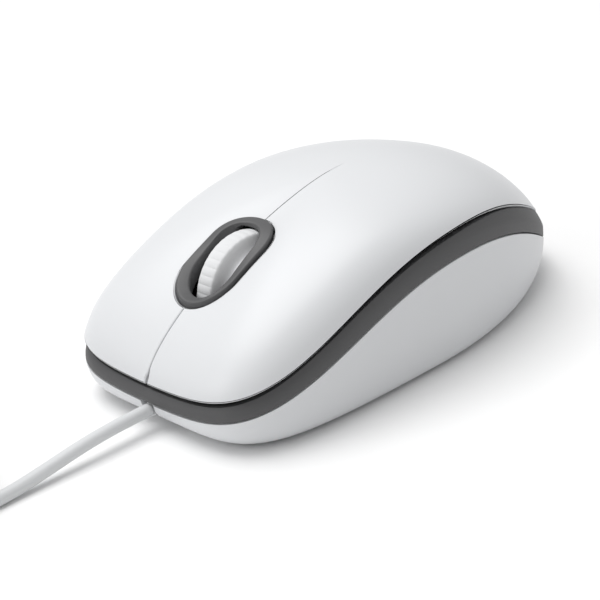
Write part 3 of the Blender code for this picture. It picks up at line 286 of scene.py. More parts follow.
def skin(share, rise):
    """The outer surface. Rise goes from -1 at the flat underside through 0 at the waist to 1
    at the crown, on a cubic Bezier below the waist and another above it."""
    share, rise = np.broadcast_arrays(np.asarray(share, float), np.asarray(rise, float))
    x, y = outline(share)
    foot, top = along(share, BAND_FOOT), along(share, BAND_TOP)
    waist = foot + WAIST_SHARE * (top - foot)
    t = np.clip(rise, 0, 1)
    b0, b1, b2, b3 = (1 - t) ** 3, 3 * (1 - t) ** 2 * t, 3 * (1 - t) * t**2, t**3
    shoulder = along(share, SHOULDER)
    shoulder_y = CROWN[1] + shoulder * (y - CROWN[1])
    high_x = x * (b0 + b1 + shoulder * b2)
    high_y = y * (b0 + b1) + shoulder_y * b2 + CROWN[1] * b3
    high_z = waist * b0 + (waist + along(share, SIDE_RISE)) * b1 + CROWN[2] * b3
    high_z = high_z + (CROWN[2] + CROWN_TILT * (shoulder_y - CROWN[1])) * b2
    t = np.clip(-rise, 0, 1)
    b0, b1, b2, b3 = (1 - t) ** 3, 3 * (1 - t) ** 2 * t, 3 * (1 - t) * t**2, t**3
    inset = along(share, BASE_INSET) / np.hypot(x, y - WIDEST_Y)
    pull = b0 + b1 + (1 - inset * (1 - FLANK_TUCK)) * b2 + (1 - inset) * b3
    low_z = waist * b0 + (waist - FLANK_DROP * (waist - BASE_Z)) * b1 + BASE_Z * (b2 + b3)
    low = (x * pull, WIDEST_Y + (y - WIDEST_Y) * pull, low_z)
    return np.stack([np.where(rise >= 0, h, v) for h, v in zip((high_x, high_y, high_z), low)], -1)


def rise_at(share, height):
    """The rise at which the skin reaches a height, found by halving."""
    low, high = np.full(np.shape(share), -1.0), np.full(np.shape(share), 0.8)
    for _ in range(30):
        middle = (low + high) / 2
        under = skin(share, middle)[..., 2] < height
        low, high = np.where(under, middle, low), np.where(under, high, middle)
    return (low + high) / 2


def unit(v):
    """Vectors scaled to a length of one."""
    return v / np.maximum(np.linalg.norm(v, axis=-1, keepdims=True), 1e-12)


def outward(share, rise):
    """The skin's outward unit normal, from its slopes in the two directions."""
    step = 5e-4
    share, rise = np.broadcast_arrays(np.asarray(share, float), np.asarray(rise, float))
    inner = np.clip(rise, -1 + step, 1 - 3 * step)
    across = skin(share + step, inner) - skin(share - step, inner)
    upward = skin(share, inner + step) - skin(share, inner - step)
    normal = unit(np.cross(across, upward))
    from_middle = skin(share, inner) - np.array((0, CROWN[1], 0.004))
    facing = (normal * from_middle).sum(-1, keepdims=True)
    return normal * np.where(facing < 0, -1, 1)


def find_on_skin(x, y):
    """(share, rise) of the upper skin above points of the plan, by Newton's method from the
    nearest of a coarse set of samples."""
    s0, r0 = np.meshgrid(np.linspace(0.002, 0.45, 90), np.linspace(0.15, 0.985, 90))
    tried = skin(s0, r0)
    gap = (tried[..., 0, None] - x) ** 2 + (tried[..., 1, None] - y) ** 2
    best = gap.reshape(-1, len(x)).argmin(0)
    s, r = s0.ravel()[best], r0.ravel()[best]
    for _ in range(12):
        here = skin(s, r)
        ds = (skin(s + 1e-5, r) - here)[:, :2] / 1e-5
        dr = (skin(s, r + 1e-5) - here)[:, :2] / 1e-5
        miss = np.stack([x, y], -1) - here[:, :2]
        area = ds[:, 0] * dr[:, 1] - ds[:, 1] * dr[:, 0]
        s = s + (miss[:, 0] * dr[:, 1] - miss[:, 1] * dr[:, 0]) / area
        r = np.clip(r + (ds[:, 0] * miss[:, 1] - ds[:, 1] * miss[:, 0]) / area, 0.05, 0.995)
    return s, r


def roof(x, y):
    """The height of the skin above points of the plan."""
    s, r = find_on_skin(np.abs(x).ravel(), y.ravel())
    return skin(s, r)[:, 2].reshape(np.shape(x))


def band_faces(rows, columns, looped=False):
    """Quads between rows of points that run round a piece, each row joined to the next. The
    last row is joined to the first as well if the section is looped."""
    i, j = np.meshgrid(np.arange(rows if looped else rows - 1), np.arange(columns), indexing="ij")
    below, k = (i + 1) % rows, (j + 1) % columns
    quads = [i * columns + j, i * columns + k, below * columns + k, below * columns + j]
    return np.stack(quads, -1).reshape(-1, 4)


case_white = finish("case_white", (0.70, 0.71, 0.725), 0.38, grain=2500, grain_height=0.000006,
                    tone=0.008, rough_swing=0.04, coat_weight=0.05, coat_roughness=0.3)

# ---- Top cover -----------------------------------------------------------------------------
# One moulding of white plastic with a rolled lip. A fine slit from the nose to behind the
# wheel parts the two buttons, which flex with the cover, and each side is a piece of its own.
WALL = 0.0015
LIP_WALL = 0.0009
LIP_ROLL = 0.00030
EDGE_ROLL = 0.00028
HOLE_HALF_LENGTH, HOLE_HALF_WIDTH = 0.01175, 0.00800
SLIT_END_Y = 0.0048
SLIT_FADE = 0.004
LIP_GAP = 0.0003
CREASE_DEPTH, CREASE_HEIGHT, CREASE_SPREAD = 0.00010, 0.0021, 0.0007
LIP_FADE_START, LIP_FADE_SPAN, LIP_FADE = 0.72, 0.22, 0.75
COVER_COLUMNS, COVER_ROWS = 260, 110
LAST_RISE = 0.9975
BLOCK_HALF_WIDTH, BLOCK_AHEAD, BLOCK_BEHIND = 0.0135, 0.0055, 0.0065
PATCH_ROWS = 16


def slit_half(y):
    """Half the slit's width: fine, with a nick at the lip, closing over its last stretch."""
    nick = 0.00030 * ease((-0.0543 - y) / 0.0016)
    return (0.00008 + nick) * ease((SLIT_END_Y - y) / SLIT_FADE)


def stadium_at(turn, half_length, half_width):
    """Points of a round-ended slot outline: turn 0 is its front tip and pi its rear tip. The
    round ends and the straight sides are walked at an even pace."""
    straight = half_length - half_width
    total = math.pi * half_width + 2 * straight
    walked = turn / math.pi * total
    quarter = math.pi * half_width / 2
    front = np.minimum(walked, quarter) / half_width
    rear = np.maximum(walked - quarter - 2 * straight, 0) / half_width
    x = half_width * np.where(walked < quarter, np.sin(front), np.cos(rear))
    side_y = np.clip(walked - quarter, 0, 2 * straight) - straight
    y = side_y - half_width * np.cos(front) * (walked < quarter) + half_width * np.sin(rear)
    return x, y


def cover_sheet():
    """The left half's outer sheet: a polar grid from the rim to the crown, with a block of
    cells left out round the wheel, and a patch of lines from that block's edge to the wheel
    hole. Returns its points, normals, lip strengths, walls, quads, crown fan and edge loop."""
    share = np.linspace(0, 1, COVER_COLUMNS + 1) ** 1.12
    step = np.linspace(0, 1, COVER_ROWS + 1)
    step = 0.55 * step**1.6 + 0.45 * step
    rim = rise_at(share, along(share, BAND_TOP) + LIP_GAP)
    grid_rise = rim + (LAST_RISE - rim) * step[:, None]
    grid_share = np.broadcast_to(share, grid_rise.shape)
    plan = skin(grid_share, grid_rise)
    last = int(np.searchsorted(plan[COVER_ROWS // 2, :, 0], BLOCK_HALF_WIDTH))
    centre_y = plan[:, 0, 1]
    low = int(np.searchsorted(centre_y, WHEEL_HOLE_Y - HOLE_HALF_LENGTH - BLOCK_AHEAD))
    high = int(np.searchsorted(centre_y, WHEEL_HOLE_Y + HOLE_HALF_LENGTH + BLOCK_BEHIND))
    width = COVER_COLUMNS + 1
    index = np.arange(grid_rise.size).reshape(grid_rise.shape)
    block_edge = np.r_[index[low, :last], index[low:high, last], index[high, last::-1]]
    flat_share, flat_rise = grid_share.ravel(), grid_rise.ravel()
    edge_plan = plan.reshape(-1, 3)[block_edge]
    walked = np.r_[0, np.cumsum(np.linalg.norm(np.diff(edge_plan[:, :2], axis=0), axis=1))]
    turn = walked / walked[-1] * math.pi
    hole_x, hole_y = stadium_at(turn, HOLE_HALF_LENGTH, HOLE_HALF_WIDTH)
    hole_share, hole_rise = find_on_skin(hole_x, hole_y + WHEEL_HOLE_Y)
    hole_share[[0, -1]] = 0
    t = np.linspace(0, 1, PATCH_ROWS + 1)[1:, None]
    t = 1 - (1 - t) ** 1.4
    patch_share = flat_share[block_edge] * (1 - t) + hole_share * t
    patch_rise = flat_rise[block_edge] * (1 - t) + hole_rise * t
    patch_index = grid_rise.size + np.arange(patch_share.size).reshape(patch_share.shape)
    crown_index = grid_rise.size + patch_share.size
    all_share = np.r_[flat_share, patch_share.ravel(), 0.5]
    all_rise = np.r_[flat_rise, patch_rise.ravel(), 1.0]

    cells = index[:-1, :-1]
    keep = np.ones(cells.shape, bool)
    keep[low:high, :last] = False
    first = cells[keep]
    quads = np.stack([first, first + 1, first + width + 1, first + width], -1)
    rows = np.vstack([block_edge, patch_index])
    across = np.stack([rows[:-1, :-1], rows[:-1, 1:], rows[1:, 1:], rows[1:, :-1]], -1)
    top = index[-1]
    cap = np.stack([top[:-1], top[1:], np.full(COVER_COLUMNS, crown_index)], -1)

    loop = np.r_[index[0], index[1:, -1], crown_index, index[:high - 1:-1, 0],
                 patch_index[:, -1], patch_index[-1, -2::-1], patch_index[-2::-1, 0],
                 index[low:0:-1, 0]]
    spots = skin(all_share, all_rise)
    normals = outward(all_share, all_rise)
    normals[crown_index] = unit(np.array((0.0, -CROWN_TILT, 1.0)))
    normals[np.abs(spots[:, 0]) < 1e-7, 0] = 0
    normals = unit(normals)

    # The rolled lip: a soft crease above the rim leaves a bead below it.
    above = np.full(len(spots), 1.0)
    above[:grid_rise.size] = (spots[:grid_rise.size, 2].reshape(grid_rise.shape)
                              - spots[:width, 2]).ravel()
    above[grid_rise.size:] = 0.02
    lip_strength = 1 - LIP_FADE * ease((all_share - LIP_FADE_START) / LIP_FADE_SPAN)
    crease = CREASE_DEPTH * np.exp(-(((above - CREASE_HEIGHT) / CREASE_SPREAD) ** 2)) * lip_strength
    spots = spots - normals * crease[:, None]
    wall = LIP_WALL + (WALL - LIP_WALL) * ease((above - 0.0012) / 0.0015)
    opened = slit_half(spots[:, 1]) * np.clip(1 - spots[:, 0] / 0.002, 0, 1)
    spots[:, 0] += opened
    return spots, normals, lip_strength, wall, np.vstack([quads, across.reshape(-1, 4)]), cap, loop


def cover_half(name, side):
    """The outer sheet with its edge rolled over by a quarter circle. The edge goes down
    through the wall and comes back as the inner sheet, the outer one moved in by the wall."""
    spots, normals, lip_strength, wall, sheet, cap, loop = cover_sheet()
    rim_count = COVER_COLUMNS + 1
    edge, edge_normal = spots[loop], normals[loop]
    ahead = unit(np.roll(edge, -1, 0) - edge)
    out_ahead = unit(np.cross(ahead, edge_normal))
    out_behind = np.roll(out_ahead, 1, 0)
    out = unit(out_ahead + out_behind)
    out = out / np.maximum((out * out_ahead).sum(-1, keepdims=True), 0.6)
    in_rim = np.arange(len(loop)) < rim_count
    on_seam = (np.abs(edge[:, 0]) < 2e-5) & (edge[:, 1] > 0)
    rear_seam = ~in_rim & (np.arange(len(loop)) < rim_count + COVER_ROWS + 1)
    roll = np.where(in_rim, LIP_ROLL * lip_strength[loop], EDGE_ROLL)
    roll = roll * np.where(rear_seam, 0, 1)
    roll = roll * np.where(in_rim, 1, ease((SLIT_END_Y - edge[:, 1]) / SLIT_FADE))
    roll[on_seam & ~in_rim] = 0
    centre_seam = on_seam | rear_seam
    out[centre_seam & ~in_rim] = (-1, 0, 0)
    edge_wall = wall[loop]
    spots[loop] = edge - out * roll[:, None]
    rings, ring_normals = [], []
    for turn in (30, 60, 90):
        c, s = math.cos(math.radians(turn)), math.sin(math.radians(turn))
        sideways, down = roll * (1 - s), roll * (1 - c)
        rings.append(edge - out * sideways[:, None] - edge_normal * down[:, None])
        ring_normals.append(unit(edge_normal * c + out * s))
    inner = spots - normals * wall[:, None]
    inner[loop] = edge - edge_normal * edge_wall[:, None]

    count, edge_count = len(spots), len(loop)
    ring_index = count + np.arange(len(rings) * edge_count).reshape(-1, edge_count)
    inner_start = count + ring_index.size
    strip = np.vstack([loop, ring_index, loop + inner_start])
    after = np.roll(strip, -1, 1)
    walls = np.stack([strip[:-1], strip[1:], after[1:], after[:-1]], -1)
    points = np.vstack([spots, *rings, inner])
    inner_sheet, inner_cap = sheet[:, ::-1] + inner_start, cap[:, ::-1] + inner_start
    groups = [sheet, cap, walls.reshape(-1, 4), inner_sheet, inner_cap]
    faces = [f for g in groups for f in g.tolist()]
    point_normals = np.vstack([normals, *ring_normals, -normals])
    strip_normals = np.stack([normals[loop], *ring_normals, unit(out)])
    strip_normals[:, centre_seam] = (-1, 0, 0)
    after_normals = np.roll(strip_normals, -1, 1)
    corner = [strip_normals[:-1], strip_normals[1:], after_normals[1:], after_normals[:-1]]
    loops = [point_normals[sheet], point_normals[cap], np.stack(corner, 2),
             point_normals[inner_sheet], point_normals[inner_cap]]
    loops = np.vstack([part.reshape(-1, 3) for part in loops])
    points[:, 0] *= side
    loops[:, 0] *= side
    if side < 0:
        ends = np.cumsum([len(f) for f in faces])
        turned = [np.arange(end - 1, end - len(f) - 1, -1) for f, end in zip(faces, ends)]
        loops = loops[np.concatenate(turned)]
        faces = [f[::-1] for f in faces]
    return cover_object(name, points, faces, loops)


def cover_object(name, points, faces, loop_normals):
    """The mesh with only the points that its faces use, and its own normals."""
    flat = np.concatenate([np.asarray(f) for f in faces])
    used, renamed = np.unique(flat, return_inverse=True)
    ends = np.cumsum([len(f) for f in faces])
    faces = [renamed[a:b].tolist() for a, b in zip(np.r_[0, ends[:-1]], ends)]
    made = surface(name, points[used], faces, case_white)
    made.data.normals_split_custom_set(unit(loop_normals).tolist())
    return made


for hand, side in (("left", 1), ("right", -1)):
    cover = cover_half(f"top_cover_{hand}_half", side)
    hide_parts("palm_cover", f"{hand}_button")
    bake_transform(cover)

# ---- Trim band -----------------------------------------------------------------------------
# A dark grey hoop of satin plastic between cover and shell. Its upper edge is set back under
# the cover's lip, which leaves a black shadow line, and it sweeps out flush with the shell.
RECESS = (0.0010, 0.0011, 0.0010, 0.0007, 0.0003, 0.0002)
HEADROOM = (0.0009, 0.0010, 0.0012, 0.0009, 0.0002, 0.00015)
BAND_DEPTH = 0.0034
FOOT_GAP = 0.00012
FOOT_INSET, FOOT_ROUND = 0.00008, 0.00012
BAND_SHARES = (0, 0.04, 0.08, 0.13, 0.2, 0.3, 0.4, 0.5, 0.6, 0.7, 0.8, 0.9, 0.96, 0.985, 1.0)
LOOP = 640
loop_share = -1 + 2 * (np.arange(LOOP) + 0.5) / LOOP


def beside_skin(height, depth):
    """Points on the skin at heights, moved level towards the middle by depths."""
    share = np.broadcast_to(loop_share, np.shape(height))
    rise = rise_at(share, height)
    level = unit(outward(share, rise) * (1, 1, 0))
    spots = skin(share, rise) - level * np.asarray(depth)[..., None]
    spots[..., 2] = height
    return spots


band_satin = finish("band_satin", (0.080, 0.080, 0.082), 0.55, grain=2200, grain_height=0.00001,
                    tone=0.05)
top_z = along(loop_share, BAND_TOP) - along(loop_share, HEADROOM)
foot_z = along(loop_share, BAND_FOOT) + FOOT_GAP
t = np.array(BAND_SHARES)[:, None]
cove = FOOT_INSET + (along(loop_share, RECESS) - FOOT_INSET) * (1 - t) ** 1.7
cove = cove + FOOT_ROUND * np.clip((t - 0.96) / 0.04, 0, 1) ** 2
heights = top_z + (foot_z - top_z) * t
front_rows = beside_skin(heights, cove)
back_rows = beside_skin(np.stack([foot_z, top_z]), np.full((2, LOOP), BAND_DEPTH))
band_rows = np.concatenate([front_rows, back_rows, front_rows[:1]])[:-1]
band_quads = band_faces(len(band_rows), LOOP, looped=True)
band = surface("side_band", band_rows, band_quads[:, ::-1], band_satin, 50)
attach(band, "case")
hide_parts("trim_band")

# ---- Bottom shell --------------------------------------------------------------------------
# The white tub under the band. Its flanks roll under to a flat base, with a window for the
# sensor, two deep screw holes, a sunk place for a label and a notch at the nose for the cable.
SHELL_WALL = 0.0020
FLOOR_TOP = 0.0026
RIM_GAP, RIM_ROUND = 0.00012, 0.00005
NOTCH_RADIUS, NOTCH_FROM, NOTCH_TO, NOTCH_TOP = 0.0020, -0.06, -0.051, 0.02
CORD_Z = 0.0044
SENSOR_Y = 0.0010
SENSOR_HALF_X, SENSOR_HALF_Y = 0.0050, 0.0040
LABEL_HALF_X, LABEL_HALF_Y, LABEL_SINK = 0.0173, 0.00755, 0.00045
WINDOW_CORNER = 0.0012
POST_RADIUS, HEAD_RADIUS, SHANK_RADIUS = 0.0036, 0.0026, 0.0013
POST_FOOT, POST_TOP, HEAD_SEAT, SHANK_FOOT = 0.0015, 0.0062, 0.0034, 0.001
OUTSIDE, ABOVE_FLOOR = -0.001, 0.01


def faces_outward(made, merge=False):
    """Turns every face outwards, after points that coincide are merged if asked."""
    work = bmesh.new()
    work.from_mesh(made.data)
    if merge:
        bmesh.ops.remove_doubles(work, verts=work.verts, dist=1e-7)
    bmesh.ops.recalc_face_normals(work, faces=work.faces)
    work.to_mesh(made.data)
    work.free()


def cut(target, operation, tool_points, tool_faces):
    """A Boolean of a closed tool on the target, applied at once."""
    tool = surface("tool", tool_points, tool_faces)
    faces_outward(tool)
    step = target.modifiers.new("cut", "BOOLEAN")
    step.operation = operation
    step.object = tool
    step.solver = "EXACT"
    bpy.context.view_layer.update()
    solved = target.evaluated_get(bpy.context.evaluated_depsgraph_get())
    result = bpy.data.meshes.new_from_object(solved)
    target.modifiers.clear()
    target.data = result
    bpy.data.objects.remove(tool)


def prism(ring, low, high, bevel=0.0):
    """A closed prism of a ring of (x, y), from low to high, its top edge eased by a bevel."""
    ring = np.asarray(ring, float)
    middle = ring.mean(0)
    shrink = 1 - bevel / np.linalg.norm(ring - middle, axis=1, keepdims=True)
    levels = [(ring, low), (ring, high)]
    if bevel:
        levels = [(middle + (ring - middle) * shrink, low), (ring, low + bevel), (ring, high)]
    points = np.vstack([np.column_stack([r, np.full(len(r), z)]) for r, z in levels])
    n = len(ring)
    faces = band_faces(len(levels), n).tolist()
    faces += [list(range(n))[::-1], list(range(len(points) - n, len(points)))]
    return points, faces


def disc(x, y, radius, count=48):
    """A ring of points on a circle."""
    turn = 2 * np.pi * np.arange(count) / count
    return np.column_stack([x + radius * np.cos(turn), y + radius * np.sin(turn)])


def rounded_box(x, y, half_x, half_y, corner, count=8):
    """A rectangle with round corners as a ring of points: a quarter circle at each corner."""
    quarter = np.repeat(np.arange(4), count) * np.pi / 2
    turn = quarter + np.tile(np.linspace(0, np.pi / 2, count), 4)
    middle_x = np.sign(np.cos(quarter + np.pi / 4)) * (half_x - corner)
    middle_y = np.sign(np.sin(quarter + np.pi / 4)) * (half_y - corner)
    return np.column_stack([x + middle_x + corner * np.cos(turn),
                            y + middle_y + corner * np.sin(turn)])


rim_z = along(loop_share, BAND_FOOT) - RIM_GAP
rim_rise = rise_at(loop_share, rim_z)
t = (1 - np.cos(np.linspace(0, np.pi, 28)))[:, None] / 2
outer_rise = rim_rise + (-1 - rim_rise) * t
outer_rows = skin(np.broadcast_to(loop_share, outer_rise.shape), outer_rise)
lip_depths = np.stack([np.full(LOOP, 0.0003), np.full(LOOP, 0.0001)])
lip_rows = beside_skin(np.stack([rim_z, rim_z - RIM_ROUND]), lip_depths)
inner_z = rim_z + (FLOOR_TOP - rim_z) * np.linspace(0, 1, 8)[:, None]
inner_rows = beside_skin(inner_z, np.full(inner_z.shape, SHELL_WALL))
tub_rows = np.concatenate([outer_rows[::-1][:-1], lip_rows[1:], lip_rows[:1], inner_rows])
tub_faces = band_faces(len(tub_rows), LOOP).tolist()
last_row = (len(tub_rows) - 1) * LOOP
tub_faces += [list(range(LOOP))[::-1], list(range(last_row, last_row + LOOP))]
tub = surface("base_shell", tub_rows, tub_faces, case_white, 40)
faces_outward(tub)
window = rounded_box(0, SENSOR_Y, SENSOR_HALF_X, SENSOR_HALF_Y, WINDOW_CORNER)
cut(tub, "DIFFERENCE", *prism(window, OUTSIDE, ABOVE_FLOOR))
low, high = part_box("rating_label")
label_place = rounded_box(0, (low.y + high.y) / 2, LABEL_HALF_X, LABEL_HALF_Y, WINDOW_CORNER)
cut(tub, "DIFFERENCE", *prism(label_place, OUTSIDE, BASE_Z + LABEL_SINK))
for hand in ("left", "right"):
    low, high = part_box(f"{hand}_case_screw")
    x, y = (low.x + high.x) / 2, (low.y + high.y) / 2
    cut(tub, "UNION", *prism(disc(x, y, POST_RADIUS), POST_FOOT, POST_TOP))
    cut(tub, "DIFFERENCE", *prism(disc(x, y, HEAD_RADIUS), OUTSIDE, HEAD_SEAT))
    cut(tub, "DIFFERENCE", *prism(disc(x, y, SHANK_RADIUS), SHANK_FOOT, ABOVE_FLOOR))
arch_turn = np.linspace(np.pi, 2 * np.pi, 25)
arch = np.column_stack([NOTCH_RADIUS * np.cos(arch_turn),
                        CORD_Z + NOTCH_RADIUS * np.sin(arch_turn)])
arch = np.vstack([arch, (NOTCH_RADIUS, NOTCH_TOP), (-NOTCH_RADIUS, NOTCH_TOP)])
n = len(arch)
notch = np.vstack([np.column_stack([arch[:, 0], np.full(n, y), arch[:, 1]])
                   for y in (NOTCH_FROM, NOTCH_TO)])
notch_faces = band_faces(2, n).tolist() + [list(range(n)), list(range(n, 2 * n))]
cut(tub, "DIFFERENCE", notch, notch_faces)
tub.data.shade_smooth()
tub.data.set_sharp_from_angle(angle=math.radians(35))
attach(tub, "case")
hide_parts("bottom_shell")

# ---- Wheel ring ----------------------------------------------------------------------------
# A dark oval ring, part of the carrier frame, stands just proud of the cover round the wheel.
# Its edges are rounded, and its rear end is arched underneath so that the wheel turns clear.
RING_HALF_LENGTH, RING_HALF_WIDTH = 0.0113, 0.0076
RING_BAND, RING_END_BAND = 0.0022, 0.0029
RING_RAISE, RING_SKIRT = 0.0009, 0.0030
OUTER_ROUND, INNER_ROUND, EDGE_FALL = 0.18, 0.16, 0.0004
WHEEL_RADIUS, WHEEL_CLEARANCE = 0.0122, 0.0004
WHEEL_Y, WHEEL_Z = [sum(c[i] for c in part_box("wheel_hub")) / 2 for i in (1, 2)]
RING_POINTS = 240


def oval(half_length, half_width):
    """The whole slot outline about the wheel opening, from the front tip round by +X."""
    x, y = stadium_at(np.linspace(0, np.pi, RING_POINTS // 2 + 1), half_length, half_width)
    return np.r_[x, -x[-2:0:-1]], WHEEL_HOLE_Y + np.r_[y, y[-2:0:-1]]


seat_x, seat_y = oval(RING_HALF_LENGTH, RING_HALF_WIDTH)
seat_z = roof(seat_x, seat_y)
ring_section = [(0.0, -RING_SKIRT), (0.0, 0.0)]
for angle in np.radians(np.linspace(0, 90, 6)):
    fall = EDGE_FALL * (1 - math.sin(angle))
    ring_section.append((OUTER_ROUND * (1 - math.cos(angle)), RING_RAISE - fall))
for angle in np.radians(np.linspace(0, 90, 6)):
    fall = 0.0001 + EDGE_FALL * (1 - math.cos(angle))
    ring_section.append((1 - INNER_ROUND * (1 - math.sin(angle)), RING_RAISE - fall))
ring_section += [(1.0, -0.0008), (1.0, -RING_SKIRT)]
ring_rows = []
for share_in, lift in ring_section:
    x, y = oval(RING_HALF_LENGTH - share_in * RING_END_BAND,
                RING_HALF_WIDTH - share_in * RING_BAND)
    z = seat_z + lift
    clear_radius = WHEEL_RADIUS + WHEEL_CLEARANCE
    arc = WHEEL_Z + np.sqrt(np.maximum(clear_radius**2 - (y - WHEEL_Y) ** 2, 0))
    under = 1 - ease((np.abs(x) - 0.0040) / 0.0012)
    under = under * ease((y - WHEEL_HOLE_Y - 0.004) / 0.004) * (lift < 0)
    arched = np.maximum(z, np.minimum(arc, seat_z + 0.0001))
    ring_rows.append(np.column_stack([x, y, z + (arched - z) * under]))
ring_rows = np.array(ring_rows)
ring_faces = band_faces(*ring_rows.shape[:2], looped=True)
ring_grey = finish("ring_grey", (0.085, 0.085, 0.087), 0.5, grain=2400, grain_height=0.00001,
                   tone=0.04)
wheel_ring = surface("wheel_ring", ring_rows, ring_faces, ring_grey, 60)
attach(wheel_ring, "case")
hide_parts("wheel_bezel")

# ---- Scroll wheel --------------------------------------------------------------------------
# A pale rubber tyre with shallow ribs across its crowned tread. Each side dips in a smooth
# hollow and comes out again to a thin flange, and a plastic hub with an axle fills the middle.
TREAD_HALF = 0.0038
FLANGE_HALF = 0.0044
CROWN_DROP = 0.0010
HOLLOW_DROP = 0.0036
FLANGE_DROP = 0.0029
SHOULDER_START, SHOULDER_END = TREAD_HALF * 0.50, FLANGE_HALF * 0.86
RIM_START, RIM_SPAN = FLANGE_HALF * 0.82, FLANGE_HALF * 0.12
TYRE_INNER_RADIUS, TYRE_SIDE_RADIUS, TYRE_SIDE = 0.0072, 0.0073, 0.0012
RIBS, RIB_STEPS = 40, 16
RIB_HEIGHT, RIB_REACH, RIB_FADE = 0.00012, 0.0012, 0.0016


def wheel_points(profile, steps, ribs=None):
    """A profile of (x, radius) pairs turned about the wheel's axis. The ribs lift the radius
    where the profile's own weight says so, by a rounded wave round the wheel."""
    profile = np.asarray(profile, float)
    turn = 2 * np.pi * np.arange(steps) / steps
    radius = np.broadcast_to(profile[:, 1, None], (len(profile), steps)).copy()
    if ribs is not None:
        wave = np.abs(np.cos(turn * RIBS / 2)) ** 0.7 - 0.6
        radius += np.asarray(ribs)[:, None] * wave
    return np.stack([np.broadcast_to(profile[:, 0, None], radius.shape),
                     WHEEL_Y + radius * np.cos(turn), WHEEL_Z + radius * np.sin(turn)], -1)


x = np.linspace(-FLANGE_HALF, FLANGE_HALF, 57)
across = np.minimum(np.abs(x) / TREAD_HALF, 1)
shoulder = ease((np.abs(x) - SHOULDER_START) / (SHOULDER_END - SHOULDER_START))
tread = WHEEL_RADIUS - RIB_HEIGHT * 0.4 - CROWN_DROP * across**2 * (1 - shoulder)
tread = tread - HOLLOW_DROP * shoulder
tread = tread + (HOLLOW_DROP - FLANGE_DROP) * ease((np.abs(x) - RIM_START) / RIM_SPAN)
profile = [(-FLANGE_HALF + TYRE_SIDE, TYRE_INNER_RADIUS), (-FLANGE_HALF, TYRE_SIDE_RADIUS),
           *zip(x, tread),
           (FLANGE_HALF, TYRE_SIDE_RADIUS), (FLANGE_HALF - TYRE_SIDE, TYRE_INNER_RADIUS)]
from_middle = np.abs(np.array(profile)[:, 0])
lift = RIB_HEIGHT * (1 - ease((from_middle - RIB_REACH) / RIB_FADE))
rows = wheel_points(profile, RIBS * RIB_STEPS, lift)
tyre_rubber = finish("tyre_rubber", (0.70, 0.705, 0.715), 0.62, grain=1800, grain_height=0.00002,
                     tone=0.03, sheen_weight=0.15)
tyre_faces = band_faces(*rows.shape[:2], looped=True)
tyre = surface("wheel_tread", rows, tyre_faces, tyre_rubber, 60)
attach(tyre, "scroll_wheel")
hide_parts("wheel_tyre")

HUB_PROFILE = (
    (0.0087, 0.0), (0.0087, 0.0012), (0.0084, 0.0015), (0.0036, 0.0015), (0.0036, 0.0028),
    (0.0030, 0.0032), (0.0018, 0.0038), (0.0016, 0.0046), (0.0016, 0.0058), (0.0019, 0.0062),
    (0.0026, 0.0066), (0.0031, 0.0067), (0.0031, 0.0070), (0.0026, 0.0071),
)
rows = wheel_points([*HUB_PROFILE, *((-x, r) for x, r in HUB_PROFILE[::-1])], 96)
hub_plastic = finish("hub_plastic", (0.62, 0.63, 0.64), 0.35, grain=1200, grain_height=0.00001,
                     tone=0.03)
hub = surface("wheel_core", rows, band_faces(*rows.shape[:2]), hub_plastic, 35)
faces_outward(hub, merge=True)
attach(hub, "scroll_wheel")
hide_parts("wheel_hub")

# ---- Strain relief -------------------------------------------------------------------------
# A soft moulded sleeve on the cable. Its flange is trapped inside the case, and its neck fills
# the notch in the nose.
low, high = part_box("cable_grommet")
neck = [(0.0, 0.0002), (0.00145, 0.0002), (0.00158, 0.00028), (0.0016, 0.0005)]
flange = [(0.0016, 0.0021), (0.0024, 0.0020), (0.0028, 0.0018), (0.0028, 0.0003),
          (0.0024, 0.0001), (0.0, 0.0001)]
sleeve_section = [(r, low.y + ahead) for r, ahead in neck]
sleeve_section += [(r, high.y - behind) for r, behind in flange]
reach, place = np.array(sleeve_section).T[..., None]
sleeve_turn = 2 * np.pi * np.arange(64) / 64
sleeve_rows = np.stack([reach * np.cos(sleeve_turn), place + 0 * sleeve_turn,
                        CORD_Z + reach * np.sin(sleeve_turn)], -1)
sleeve = surface("cable_sleeve", sleeve_rows, band_faces(*sleeve_rows.shape[:2]), cord_jacket, 40)
faces_outward(sleeve, merge=True)
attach(sleeve, "case")
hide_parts("cable_grommet")

# ---- Underside: feet, label and screws -----------------------------------------------------
# Four slippery black pads on the flat base, a blank silver label in its sunk place, and the
# two screws that hold the cover, deep in their holes.
foot_film = finish("foot_film", (0.03, 0.03, 0.032), 0.35, grain=1500, grain_height=0.00002,
                   tone=0.06)
for end in ("front", "rear"):
    for hand in ("left", "right"):
        low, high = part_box(f"{end}_{hand}_foot")
        x, y = (low.x + high.x) / 2, (low.y + high.y) / 2
        half_y, half_x = (high.y - low.y) / 2, (high.x - low.x) / 2
        pad_ring = rounded_box(x, y, half_x, half_y, min(half_x, half_y) * 0.98, 12)
        pad = surface(f"{end}_{hand}_pad", *prism(pad_ring, low.z, high.z, 0.00012), foot_film, 50)
        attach(pad, "case")
        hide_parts(f"{end}_{hand}_foot")


def coat(material, *nodes):
    """The material of CAD nodes that are shown as they are."""
    for node in nodes:
        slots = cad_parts[node].data.materials
        slots.clear()
        slots.append(material)


silver_label = finish("silver_label", (0.62, 0.63, 0.64), 0.42, grain=2500, metallic=0.3)
plated_steel = finish("plated_steel", (0.62, 0.62, 0.63), 0.28, metallic=1.0, grain=1600)
coat(silver_label, "rating_label")
coat(plated_steel, "left_case_screw", "right_case_screw")

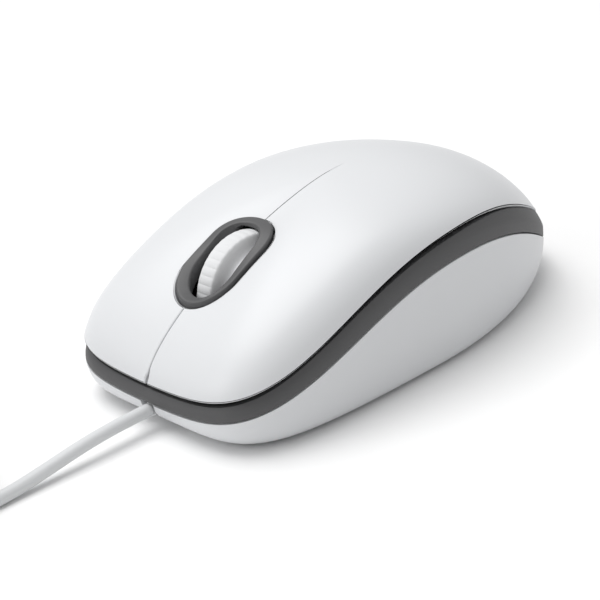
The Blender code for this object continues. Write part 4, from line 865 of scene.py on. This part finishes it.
# ---- Circuit board and sensor --------------------------------------------------------------
# A green board held by two screws. It carries the sensor chip over its clear lens, a clear
# lamp in a black clip, a capacitor, and the header where the cable's four wires plug in.
solder_mask = finish("solder_mask", (0.03, 0.17, 0.07), 0.35, grain=700, tone=0.2,
                     tone_scale=250)
black_moulding = finish("black_moulding", (0.025, 0.025, 0.027), 0.45, grain_height=0.00003)
ivory_moulding = finish("ivory_moulding", (0.72, 0.70, 0.64), 0.45, grain_height=0.00002)
clear_moulding = finish("clear_moulding", (0.9, 0.93, 0.95), 0.12, grain_height=0.000005,
                        transmission_weight=0.85)
red_insulation = finish("red_insulation", (0.5, 0.03, 0.03), 0.45)
green_insulation = finish("green_insulation", (0.03, 0.33, 0.08), 0.45)
white_insulation = finish("white_insulation", (0.78, 0.78, 0.78), 0.45)
coat(solder_mask, "circuit_board")
coat(plated_steel, "left_board_screw", "right_board_screw")
coat(black_moulding, "sensor_chip", "led_clip", "capacitor", "wire_black")
coat(clear_moulding, "sensor_lens", "sensor_led")
coat(ivory_moulding, "board_header", "cable_socket")
coat(red_insulation, "wire_red")
coat(green_insulation, "wire_green")
coat(white_insulation, "wire_white")

# ---- Button switches -----------------------------------------------------------------------
# Under each button, a small switch with a black base and plunger and an ivory cover. The one
# under the wheel is a low black case with a soft grey key.
soft_key = finish("soft_key", (0.66, 0.66, 0.66), 0.6)
for hand in ("left", "right"):
    coat(black_moulding, f"{hand}_switch_base", f"{hand}_switch_plunger")
    coat(ivory_moulding, f"{hand}_switch_cover")
coat(black_moulding, "middle_switch_case")
coat(soft_key, "middle_switch_plunger")

# ---- Wheel carrier -------------------------------------------------------------------------
# A black frame that holds the wheel and slides down when it is pressed, on a steel spring
# that shortens with it. A clear lamp and a dark receiver read the wheel's turn.
dark_lens = finish("dark_lens", (0.03, 0.01, 0.015), 0.15, grain_height=0.000005,
                   coat_weight=0.5)
coat(black_moulding, "wheel_carrier")
coat(plated_steel, "carrier_spring")
coat(clear_moulding, "ir_emitter")
coat(dark_lens, "ir_receiver")
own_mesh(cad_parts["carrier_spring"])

# ---- Coil tie and plug ---------------------------------------------------------------------
# A black strap round the coil. The plug at the cord's end has a pale overmould, a plated
# shell, an ivory insert and four gilded contacts.
gold_plate = finish("gold_plate", (0.86, 0.63, 0.27), 0.25, metallic=1.0, grain=1600)
contacts = [f"plug_contact_{k}" for k in (1, 2, 3, 4)]
coat(black_moulding, "cable_tie")
coat(cord_jacket, "plug_overmould")
coat(plated_steel, "plug_shell")
coat(ivory_moulding, "plug_insert")
coat(gold_plate, *contacts)
